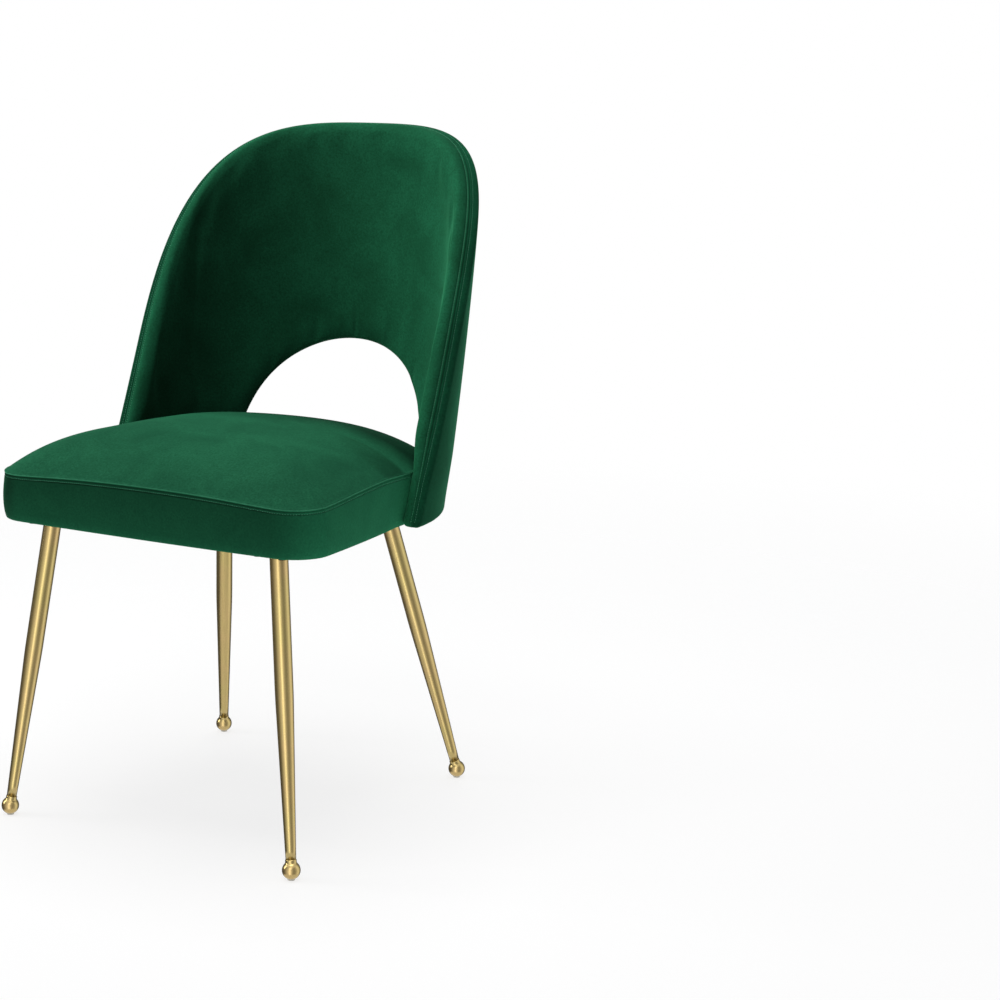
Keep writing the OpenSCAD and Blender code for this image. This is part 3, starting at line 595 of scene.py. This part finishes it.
def press_seam(piece, *lines, both_sides=False):
    """Raises or sinks lines that run beside a seam. Each line is its distance from the
    seam, its width and its height, in millimetres."""
    away = np.empty(len(piece.data.vertices), np.float32)
    piece.data.attributes["from_seam"].data.foreach_get("value", away)
    if both_sides:
        away = np.abs(away)
    out = np.empty(len(piece.data.vertices) * 3)
    piece.data.vertex_normals.foreach_get("vector", out)
    relief = sum(height * mm * np.exp(-((away - line) / width) ** 2) for line, width, height in lines)
    move_points(piece, coordinates(piece) + out.reshape(-1, 3) * relief[:, None])


seat = new_piece("seat_cushion", to_scene(points), faces, top_velvet, border_velvet, welt_highlight_velvet)
top_faces = cells * cells
# The first row of border faces, along the seam, takes the welt's paler velvet: a painted highlight on the
# rolled edge
for face in list(seat.data.polygons)[top_faces:]:
    face.material_index = 1 if face.index >= top_faces + ring_size else 2
mark(seat, "from_seam", "FLOAT", "value", seam_distance)
# The cover is held along the seam and the hem, and where the back's arms press on it
held = np.clip(1 - np.abs(seam_distance) / 4, 0, 1)
held[seam_distance > 52] = 1
behind = share_between(points[:, 1], 20, 50) * (seam_distance > -8)
settle(seat, np.maximum(held, behind), 0.005)
row_start = top_count + stitch_ring * ring_size
seat_row = coordinates(seat)[row_start:row_start + ring_size]
finish_smooth(seat)
# A fine welt along the top, a groove below it, and the stitched hollow 5 mm down
press_seam(seat, (-0.2, 0.9, 0.9), (2.0, 0.8, -0.5), (5.0, 0.9, -0.6))
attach(seat, "root")
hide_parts("seat_foam", "seat_top_cover", "seat_border_cover")


# ---- Wrap-round back ---------------------------------------------------------------
# A bent plywood shell padded on both sides. The inner velvet rolls over both rims and
# is sewn to the outer velvet along them, with a row of stitches on either side.

# Painted shade in these numbers: the inner cover is painted paler on sides that face left and darker on
# those that face right, and the outer cover paler on sides that face left and rear
inner_velvet = velvet("emerald velvet, inner back", "#1a583a", "#24724e", 0.3, 0.72, (-0.62, -0.1, 0))
outer_velvet = velvet("emerald velvet, outer back", "#11472f", "#185b3d", 0.25, 1.1, (-0.3, 0.3, 0))

cutout_half_angle = 41
cutout_spring = 425
cutout_rise = 146
shoulder_start = 562
shoulder_rise_power = 2.6
shoulder_width_power = 3.2
arm_lean = 24.5                    # degrees that the rim draws back from the arms to the top
arm_tuck = 1.3                     # degrees that it is drawn in at the arms' lower ends
arm_share = 4 / 24                 # of the stations, on the straight arm
straight_share = 0.3               # of the others, below the shoulder
end_radius = 6.0
outer_corner = 5.0
inner_corner = 12.0
cutout_corner = 5.5
arm_hang = 3.5                     # how far the covers are turned under the arm's wood
roll_fullness = 9.0                # extra depth of the roll along the outer rim
roll_reach = 42
lip_fullness = 3.0                 # the same along the cut-out
lip_reach = 30
outer_fullness = 1.8
rim_swell = 3.0                    # how far the rim and the cut-out's edge bulge
cutout_swell = 1.5
edge_reach = 14


def rim_angle(z):
    """Angle of the rim at a height."""
    share = share_between(z, shoulder_start, back_top)
    tuck = arm_tuck * np.clip(1 - rise(z) / 0.12, 0, 1)
    straight = arm_wrap - tuck - arm_lean * rise(z)
    return straight * (1 - share ** shoulder_rise_power) ** (1 / shoulder_width_power)


def band_lines(h):
    """Cut-out and rim of the back at station h: angle and height of each."""
    low = arm_bottom - arm_hang
    arm = low + (cutout_spring - low) * (1 - np.cos(np.radians(90 * h / arm_share)))
    arch = share_between(h, arm_share, 1)
    on_arm = h < arm_share
    bend = np.radians(90 * arch)
    cut_angle = np.where(on_arm, cutout_half_angle, cutout_half_angle * np.cos(bend))
    cut_z = np.where(on_arm, arm, cutout_spring + cutout_rise * np.sin(bend))
    turn = np.radians(90 * share_between(arch, straight_share, 1))
    straight = cutout_spring + (shoulder_start - cutout_spring) * arch / straight_share
    shoulder = shoulder_start + (back_top - shoulder_start) * np.sin(turn) ** (2 / shoulder_rise_power)
    rim_z = np.where(on_arm, arm, np.where(arch < straight_share, straight, shoulder))
    return np.stack([cut_angle, cut_z], -1), np.stack([rim_angle(rim_z), rim_z], -1)


# Stations along the horseshoe, evenly spaced above the rounded end of an arm. The rim's
# length counts twice as much as the cut-out's.
fine = np.linspace(0, 1, 4001)
cut_steps, rim_steps = [
    np.linalg.norm(np.diff(back_point(line[:, 0], line[:, 1], 0), axis=0), axis=1)
    for line in band_lines(fine)
]
fine_run = np.concatenate([[0], np.cumsum((cut_steps + 2 * rim_steps) / 3)])
end_rows = np.array([0, 0.5, 1.3, 2.4, 3.9, 5.8, 8.0, 11.0])
half_runs = graded(end_rows, 6.6, fine_run[-1])
half_stations = np.interp(half_runs, fine_run, fine)

# Section of the band: a rectangle with rounded corners, from the outer face round the
# rim to the inner face and back round the cut-out
face_rows = 24
outer_rows = 6                     # points round each outer corner
inner_rows = 9                     # points round each inner corner
seam_depth = 10.0
row_spacing = 2.9
rim_offsets = np.array([-4.4, -3.6, -2.9, -2.2, -1.4, -0.7, 0, 0.7, 1.4, 2.2, 2.9, 3.7])
rim_depths = seam_depth + rim_offsets


def section(width, shrink):
    """Points (across, depth) of the section, drawn in by shrink at the arms' round ends."""
    lo, hi = shrink, back_thickness - shrink
    # The corners get smaller with the section, and never meet
    r_out = min(max(outer_corner - shrink * 0.6, 0.8), (hi - lo) * 0.22)
    rims = []
    for corner in (inner_corner, cutout_corner):
        r_in = min(max(corner - shrink * 0.9, 0.8), (hi - lo) * 0.44)
        depths = rim_depths / back_thickness * (hi - lo) + lo
        depths = np.clip(depths, lo + r_out + 0.01, hi - r_in - 0.01)
        quarter = np.radians(np.linspace(0, 90, outer_rows))
        line = [(r_out * (1 - math.sin(a)), r_out * (1 - math.cos(a)) + lo) for a in quarter]
        line += [(0, d) for d in depths]
        quarter = np.radians(np.linspace(0, 90, inner_rows))
        line += [(r_in * (1 - math.cos(a)), hi - r_in * (1 - math.sin(a))) for a in quarter]
        rims.append(np.array(line))
    rim = rims[0] * [-1, 1] + [width - lo, 0]
    cut = rims[1][::-1] + [lo, 0]
    # Rows across each face, a little closer along its edges
    t = (1 - np.cos(np.linspace(0, math.pi, face_rows + 1))) / 2
    t = 0.35 * t + 0.65 * np.linspace(0, 1, face_rows + 1)
    inner = np.column_stack([
        rim[-1, 0] + (cut[0, 0] - rim[-1, 0]) * t[1:-1], np.full(face_rows - 1, hi)])
    outer = np.column_stack([
        cut[-1, 0] + (rim[0, 0] - cut[-1, 0]) * t[1:-1], np.full(face_rows - 1, lo)])
    return np.concatenate([rim, inner, cut, outer])


def end_roll(height):
    """How far the section is drawn in at a height above an arm's lower end."""
    if height >= end_radius:
        return 0.0
    return end_radius - math.sqrt(max(0, end_radius ** 2 - (end_radius - height) ** 2))


def stuffed(across, width, z):
    """Fills the covers out: a full roll along the rim above the seat, a fuller cut-out edge
    and a slight belly on the outer face."""
    depth = across[:, 1]
    from_rim = width - across[:, 0]
    from_cutout = across[:, 0]
    inside = share_between(depth, seam_depth, back_thickness)
    outside = np.clip(1 - depth / seam_depth, 0, 1)
    above = share_between(z, 432, 494)
    above = above * above * (3 - 2 * above)
    high = share_between(z, 540, 780)
    rim_roll = roll_fullness * above * (1 - 0.55 * high) * np.exp(-(from_rim / roll_reach) ** 2)
    lip = lip_fullness * above * np.exp(-(from_cutout / lip_reach) ** 2)
    belly = outer_fullness * share_between(z, 400, 450) * share_between(from_cutout, 0, 15)
    front = np.sin(math.pi * inside) * (1 - share_between(from_rim, 0, edge_reach))
    full = across.copy()
    full[:, 0] += rim_swell * above * (1 - high) * front
    full[:, 0] -= cutout_swell * above * (1 - share_between(from_cutout, 0, edge_reach))
    full[:, 1] += (rim_roll + lip) * inside - belly * outside
    return full


back_points = []
stations = [(-1, h) for h in half_stations] + [(1, h) for h in half_stations[-2::-1]]
cut_all, rim_all = band_lines(np.array([h for _, h in stations]))
for (side, h), cut, rim in zip(stations, cut_all, rim_all):
    a, mid, b = [back_point(*place, 0) for place in (cut, (cut + rim) / 2, rim)]
    width = np.linalg.norm(mid - a) + np.linalg.norm(b - mid)
    across = section(width, end_roll(min(cut[1], rim[1]) - arm_bottom + arm_hang))
    t = (across[:, 0] / width)[:, None]
    across = stuffed(across, width, (cut * (1 - t) + rim * t)[:, 1])
    t = (across[:, 0] / width)[:, None]
    where = cut * (1 - t) + rim * t
    ring = back_point(where[:, 0], where[:, 1], across[:, 1])
    ring[:, 0] *= side
    back_points.append(ring)
ring_size = len(back_points[0])
back_faces = [
    (k * ring_size + n, k * ring_size + (n + 1) % ring_size,
     (k + 1) * ring_size + (n + 1) % ring_size, (k + 1) * ring_size + n)
    for k in range(len(stations) - 1) for n in range(ring_size)
]

# Both arms' lower ends are closed by a strip across the section and a face at each rim
rim_count = outer_rows + len(rim_depths) + inner_rows
first_cut = rim_count + face_rows - 1
first_outer = first_cut + rim_count
inner_line = list(range(rim_count - 1, first_cut + 1))
outer_line = [0] + list(range(ring_size - 1, first_outer - 2, -1))
cap = [list(range(rim_count)), list(range(first_cut, first_outer))]
cap[1:1] = [
    [outer_line[n], inner_line[n], inner_line[n + 1], outer_line[n + 1]]
    for n in range(len(inner_line) - 1)
]
last = (len(stations) - 1) * ring_size
back_faces += cap + [[last + i for i in face[::-1]] for face in cap]

back = new_piece("back_upholstery", to_scene(np.concatenate(back_points)), back_faces,
                 inner_velvet, outer_velvet)
seam_column = outer_rows + int(np.argmin(np.abs(rim_offsets)))
for face in back.data.polygons:
    columns = [v % ring_size for v in face.vertices]
    if all(c <= seam_column or c >= first_outer - 1 - seam_column for c in columns):
        face.material_index = 1

# Distances from the nearer rim's seam, counted on round both corners
rim_marks = np.concatenate([
    -5.0 - 1.8 * np.arange(outer_rows - 1, -1, -1), rim_offsets, 4.2 + 2.2 * np.arange(inner_rows)])
section_seam = np.full(ring_size, 90.0)
section_seam[:rim_count] = rim_marks
section_seam[first_cut:first_outer] = rim_marks[::-1]
from_seam = np.tile(section_seam, len(stations)).astype(np.float32)
mark(back, "from_seam", "FLOAT", "value", from_seam)
# The covers stay put along the seams and where the arms are fixed beside the seat
held = np.clip(1.2 - np.abs(from_seam) / 14, 0, 1)
held = np.maximum(held, 1 - share_between(coordinates(back)[:, 2] / mm, 440, 470))
settle(back, held, 0.003)
# The two stitched rows of each rim, from one arm's lower end to the other's
near_row, far_row = outer_rows + 2, outer_rows + len(rim_depths) - 2
arm_end = len(end_rows) - 2
settled = coordinates(back).reshape(len(stations), ring_size, 3)[arm_end:len(stations) - arm_end]
back_rows = [
    settled[:, n] for n in
    (near_row, far_row, first_outer - 1 - near_row, first_outer - 1 - far_row)
]
finish_smooth(back)
# The seam's fold along each rim, a stitched hollow on either side, and the small puffs
# between them
press_seam(back, (0, 0.6, -0.4), (row_spacing, 0.9, -0.5), (1.7, 0.8, 0.3), both_sides=True)
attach(back, "root")
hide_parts("back_inner_foam", "back_inner_cover", "back_outer_foam", "back_outer_cover")


# ---- Legs --------------------------------------------------------------------------
# Steel tube, straight above and swaged down to 12.5 mm at the foot. It is brushed along
# its length and plated in satin brass.

tube_radius = 11.0
tube_end_radius = 6.25
tube_start = 12.5                  # along the leg, from the middle of its ball
taper_share = 0.53
bend_half = 14                     # half the length of the soft bend above the taper
ball_radius = 11.0
ball_height = 11.8
plate_underside = solid_reach("leg_plate_front_left")[0][2]
leg_places = {                     # side, foot x, foot y, top x, top y
    "front_left": (-1, 213, -215, 168, -173),
    "front_right": (1, 213, -215, 168, -173),
    "rear_left": (-1, 189.5, 219, 125.5, 134),
    "rear_right": (1, 189.5, 219, 125.5, 134),
}


def brass(name, grain_along, roughness):
    """Satin brass plating. grain_along stretches the brushing; 1 leaves it even."""
    material, tree, shader = new_material(name)
    place = node(tree, "ShaderNodeAttribute", attribute_name="leg_place").outputs["Vector"]
    drawn_out = node(tree, "ShaderNodeMapping", {"Vector": place}, {"Scale": (1, 1, grain_along)})
    # Brush lines about 0.6 mm apart, and broader bands where the wheel has pressed harder
    lines = node(tree, "ShaderNodeTexNoise", {"Vector": drawn_out.outputs[0]},
                 {"Scale": 1700, "Detail": 3, "Roughness": 0.65})
    bands = node(tree, "ShaderNodeTexNoise", {"Vector": drawn_out.outputs[0]},
                 {"Scale": 260, "Detail": 2})
    # Slow drift of the plating between a green and a red gold, 30 to 50 mm long
    drift = node(tree, "ShaderNodeTexNoise", {"Vector": place}, {"Scale": 24, "Detail": 2})
    tone = two_tones(tree, drift.outputs["Fac"], (0.35, "#b7a56c"), (0.68, "#bca370"))
    fine = node(tree, "ShaderNodeMapRange", {"Value": lines.outputs["Fac"]},
                {"From Min": 0.3, "From Max": 0.7, "To Min": 0.9, "To Max": 1.07})
    tint = node(tree, "ShaderNodeVectorMath", {0: tone, 1: fine.outputs["Result"]}, operation="MULTIPLY")
    tree.links.new(tint.outputs[0], shader.inputs["Base Color"])
    worn = node(tree, "ShaderNodeMapRange", {"Value": bands.outputs["Fac"]},
                {"From Min": 0.3, "From Max": 0.7,
                 "To Min": roughness - 0.04, "To Max": roughness + 0.05})
    tree.links.new(worn.outputs["Result"], shader.inputs["Roughness"])
    scratch = node(tree, "ShaderNodeBump", {"Height": lines.outputs["Fac"]},
                   {"Strength": 0.18, "Distance": 0.0001})
    tree.links.new(scratch.outputs[0], shader.inputs["Normal"])
    shader.inputs["Metallic"].default_value = 1.0
    return material


brushed_brass = brass("brushed satin brass plating", 0.02, 0.23)


def turned(profile):
    """Rings of a turned shape about Z from (radius, height) pairs, in mm."""
    segments = 64
    a = np.linspace(0, 2 * math.pi, segments, endpoint=False)
    return [np.column_stack([r * np.cos(a), r * np.sin(a), np.full(segments, h)]) for r, h in profile]


def leg_frame(place):
    """Foot of a leg, its local axes as columns with Z up along the leg, and its length."""
    side, foot_x, foot_y, top_x, top_y = place
    foot = np.array([side * foot_x, foot_y, ball_height])
    run = np.array([side * top_x, top_y, plate_underside]) - foot
    up = run / np.linalg.norm(run)
    across = np.cross([0, 1, 0], up)
    across /= np.linalg.norm(across)
    return foot, np.column_stack([across, np.cross(up, across), up]), np.linalg.norm(run)


def ring_piece(name, rings, local, material):
    """Closed shape through rings, with each point's place on the leg kept as an attribute."""
    size = len(rings[0])
    faces = [
        (k * size + n, k * size + (n + 1) % size, (k + 1) * size + (n + 1) % size, (k + 1) * size + n)
        for k in range(len(rings) - 1) for n in range(size)
    ]
    faces += [tuple(range(size - 1, -1, -1)), tuple((len(rings) - 1) * size + n for n in range(size))]
    made = new_piece(name, to_scene(np.concatenate(rings)), faces, material)
    for end in (-1, -2):
        made.data.polygons[len(faces) + end].use_smooth = False
    mark(made, "leg_place", "FLOAT_VECTOR", "vector", np.concatenate(local) * mm)
    return made


for where, place in leg_places.items():
    foot, axes, length = leg_frame(place)
    taper_end = tube_start + taper_share * (length - tube_start)
    heights = np.concatenate([
        np.linspace(tube_start - 0.6, taper_end - bend_half - 2, 12),
        np.linspace(taper_end - bend_half + 1, taper_end + bend_half - 1, 9),
        np.linspace(taper_end + bend_half + 4, length - 8, 8), [length]])
    # The radius grows steadily up the taper, more and more slowly round the bend, and
    # stays the same above it
    growth = (tube_radius - tube_end_radius) / (taper_end - tube_start)
    bend_start = taper_end - bend_half
    round_bend = share_between(heights, bend_start, taper_end + bend_half)
    radii = tube_end_radius + growth * np.clip(np.minimum(heights, bend_start) - tube_start, 0, None)
    radii = radii + growth * 2 * bend_half * (round_bend - round_bend ** 2 / 2)
    local = turned(list(zip(radii, heights)))
    rings = [foot + ring @ axes.T for ring in local]
    # The top is cut level under the plate
    up = axes[:, 2]
    rings[-1] = rings[-1] + ((plate_underside - rings[-1][:, 2]) / up[2])[:, None] * up
    local[-1] = (rings[-1] - foot) @ axes
    tube = ring_piece("brass_tube_" + where, rings, local, brushed_brass)
    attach(tube, "root")
    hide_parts("leg_tube_" + where)


# ---- Ball feet ---------------------------------------------------------------------
# Solid steel balls, turned and plated with the tubes. A small weld bead joins each one to
# its tube, and a nylon glide is let into its underside.

turned_brass = brass("turned satin brass plating", 1.0, 0.24)
ball_arc = np.radians(np.linspace(2, 136, 34))
neck_and_bead = [(7.32, 8.45), (7.02, 9.0), (6.84, 9.7), (6.78, 10.5), (6.86, 11.2), (6.88, 11.8),
                 (6.74, 12.3), (6.45, 12.6), (6.2, 12.7)]
ball_profile = [(ball_radius * math.sin(a), -ball_radius * math.cos(a)) for a in ball_arc] + neck_and_bead
for where, place in leg_places.items():
    foot, axes, _ = leg_frame(place)
    local = turned(ball_profile)
    ball = ring_piece("brass_ball_" + where, [foot + ring @ axes.T for ring in local], local, turned_brass)
    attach(ball, "root")
    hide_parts("ball_foot_" + where)


# ---- Hidden wood, fixings and glides -------------------------------------------------
# Raw birch plywood, sawn beech blocks, zinc-plated fixings, black dust cover and nylon
# glides. They are seen only from below, or where a cover is taken off.

def finish(name, dark, light, scale, stretch, roughness, metallic=0.0, bump=0.15):
    """Material with one stretched noise for its colour, gloss and relief."""
    material, tree, shader = new_material(name)
    place = node(tree, "ShaderNodeTexCoord").outputs["Object"]
    drawn_out = node(tree, "ShaderNodeMapping", {"Vector": place}, {"Scale": stretch})
    grain = node(tree, "ShaderNodeTexNoise", {"Vector": drawn_out.outputs[0]},
                 {"Scale": scale, "Detail": 3, "Roughness": 0.6, "Distortion": 0.3})
    tone = two_tones(tree, grain.outputs["Fac"], (0.34, dark), (0.66, light))
    tree.links.new(tone, shader.inputs["Base Color"])
    gloss = node(tree, "ShaderNodeMapRange", {"Value": grain.outputs["Fac"]},
                 {"From Min": 0.3, "From Max": 0.7,
                  "To Min": roughness + 0.06, "To Max": roughness - 0.06})
    tree.links.new(gloss.outputs["Result"], shader.inputs["Roughness"])
    relief = node(tree, "ShaderNodeBump", {"Height": grain.outputs["Fac"]},
                  {"Strength": bump, "Distance": 0.0004})
    tree.links.new(relief.outputs[0], shader.inputs["Normal"])
    shader.inputs["Metallic"].default_value = metallic
    return material


# Rotary-cut birch has long pale figure about 4 mm wide; beech has short flecks
birch_plywood = finish("raw birch plywood", "#b8925c", "#d9b985", 240, (1, 0.12, 1), 0.62)
sawn_beech = finish("sawn beech", "#a9794a", "#c99a68", 420, (1, 1, 0.16), 0.66)
# Bright zinc plating has a faint blue cast and a fine crystal mottle
zinc_plating = finish("bright zinc plating", "#a9adb2", "#c4c8cc", 900, (1, 1, 1), 0.34, 1.0, 0.08)
# Black passivated zinc is dark and only a little shiny
black_zinc = finish("black passivated zinc plating", "#17181a", "#202224", 900, (1, 1, 1), 0.45, 1.0, 0.08)
# Spun-bonded polypropylene is a dull black felt of pressed fibres
dust_felt = finish("black spun-bonded dust cover", "#121313", "#232526", 700, (1, 0.35, 1), 0.88, 0.0, 0.5)
# Moulded nylon has a milky skin with a soft shine
moulded_nylon = finish("moulded natural nylon", "#d5d3ca", "#e2e0d8", 160, (1, 1, 1), 0.42, 0.0, 0.05)
# The leg plates are stamped from sheet and plated with the legs
plate_brass = finish("satin brass plated sheet", "#b9995c", "#c9aa6c", 300, (1, 0.15, 1), 0.32, 1.0, 0.1)

finishes = {
    birch_plywood: ("seat_board", "back_plywood"),
    sawn_beech: ("back_block_left_front", "back_block_left_rear",
                 "back_block_right_front", "back_block_right_rear"),
    zinc_plating: ("seat_staples", "back_bolts", "back_washers", "back_t_nuts",
                   "block_screws", "leg_t_nuts"),
    black_zinc: ("leg_bolts",),
    dust_felt: ("seat_dust_cover",),
    moulded_nylon: ("floor_glides",),
    plate_brass: ("leg_plate_front_left", "leg_plate_front_right",
                  "leg_plate_rear_left", "leg_plate_rear_right"),
}
for material, names in finishes.items():
    for name in names:
        for slot in bpy.data.objects[name].material_slots:
            slot.material = material


# ---- Stitches ----------------------------------------------------------------------
# Bonded polyester thread in green, sewn at about 3 mm a stitch: one row round the
# seat's border under the seam, and a row on each side of the seam along both rims. Its
# colour is paler than the velvet partly as a painted glint on the stitches.

sewing_thread = finish("green bonded polyester thread with painted glint", "#4a9474", "#5fa887",
                       2600, (1, 1, 1), 0.6, 0.0, 0.2)
sewing_thread.node_tree.nodes["Principled BSDF"].inputs["Specular IOR Level"].default_value = 0.1
stitch_sizes = {"Pitch": 3.2 * mm, "Stitch Length": 1.7 * mm, "Thread Width": 0.8 * mm}
thread_lift = 0.05 * mm

stitch_row = bpy.data.node_groups.new("stitch row", "GeometryNodeTree")
stitch_row.interface.new_socket("Path", in_out="INPUT", socket_type="NodeSocketGeometry")
sockets = {}
for name, size in stitch_sizes.items():
    socket = stitch_row.interface.new_socket(name, in_out="INPUT", socket_type="NodeSocketFloat")
    socket.default_value = size
    sockets[name] = socket.identifier
socket = stitch_row.interface.new_socket("Thread", in_out="INPUT", socket_type="NodeSocketMaterial")
sockets["Thread"] = socket.identifier
stitch_row.interface.new_socket("Stitches", in_out="OUTPUT", socket_type="NodeSocketGeometry")
given = node(stitch_row, "NodeGroupInput")
line = node(stitch_row, "GeometryNodeMeshToCurve", {"Mesh": given.outputs["Path"]})
spaced = node(stitch_row, "GeometryNodeResampleCurve",
              {"Curve": line.outputs[0], "Length": given.outputs["Pitch"]}, mode="LENGTH")
half_length, half_width = [
    node(stitch_row, "ShaderNodeMath", {0: given.outputs[name]}, {1: 0.5}, operation="MULTIPLY").outputs[0]
    for name in ("Stitch Length", "Thread Width")
]
shape = node(stitch_row, "ShaderNodeCombineXYZ", {"X": half_length, "Y": half_width, "Z": half_width})
bead = node(stitch_row, "GeometryNodeMeshUVSphere", values={"Segments": 6, "Rings": 4, "Radius": 1})
# The sphere's poles point along Z, so it is laid down along X first
laid = node(stitch_row, "GeometryNodeTransform", {"Geometry": bead.outputs["Mesh"]},
            {"Rotation": (0, math.pi / 2, 0)})
drawn = node(stitch_row, "GeometryNodeTransform",
             {"Geometry": laid.outputs["Geometry"], "Scale": shape.outputs[0]})
along = node(stitch_row, "GeometryNodeInputTangent")
turn = node(stitch_row, "FunctionNodeAlignRotationToVector", {"Vector": along.outputs[0]}, axis="X")
placed = node(stitch_row, "GeometryNodeInstanceOnPoints",
              {"Points": spaced.outputs[0], "Instance": drawn.outputs["Geometry"],
               "Rotation": turn.outputs[0]})
real = node(stitch_row, "GeometryNodeRealizeInstances", {"Geometry": placed.outputs[0]})
rounded = node(stitch_row, "GeometryNodeSetShadeSmooth", {"Geometry": real.outputs[0]})
sewn = node(stitch_row, "GeometryNodeSetMaterial",
            {"Geometry": rounded.outputs[0], "Material": given.outputs["Thread"]})
node(stitch_row, "NodeGroupOutput", {"Stitches": sewn.outputs[0]})


def stitches(name, rows, closed, cover):
    """Rows of stitches on a cover, along lists of points in metres."""
    skin = BVHTree.FromPolygons(
        [v.co for v in cover.data.vertices], [p.vertices for p in cover.data.polygons])
    points, edges = [], []
    for row in rows:
        first, count = len(points), len(row)
        for p in row:
            near, out, _, _ = skin.find_nearest(Vector(p))
            points.append(near + out * thread_lift)
        edges += [(first + n, first + (n + 1) % count) for n in range(count if closed else count - 1)]
    path = bpy.data.meshes.new(name)
    path.from_pydata(points, edges, [])
    made = bpy.data.objects.new(name, path)
    bpy.context.scene.collection.objects.link(made)
    sewing = made.modifiers.new("sewing", "NODES")
    sewing.node_group = stitch_row
    for size_name, size in stitch_sizes.items():
        sewing[sockets[size_name]] = size
    sewing[sockets["Thread"]] = sewing_thread
    ready = made.evaluated_get(bpy.context.evaluated_depsgraph_get())
    mesh = bpy.data.meshes.new_from_object(ready)
    made.modifiers.remove(sewing)
    made.data = mesh
    bpy.data.meshes.remove(path)
    mesh.name = name
    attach(made, "root")


stitches("seat_stitches", [seat_row], True, seat)
stitches("back_stitches", back_rows, False, back)
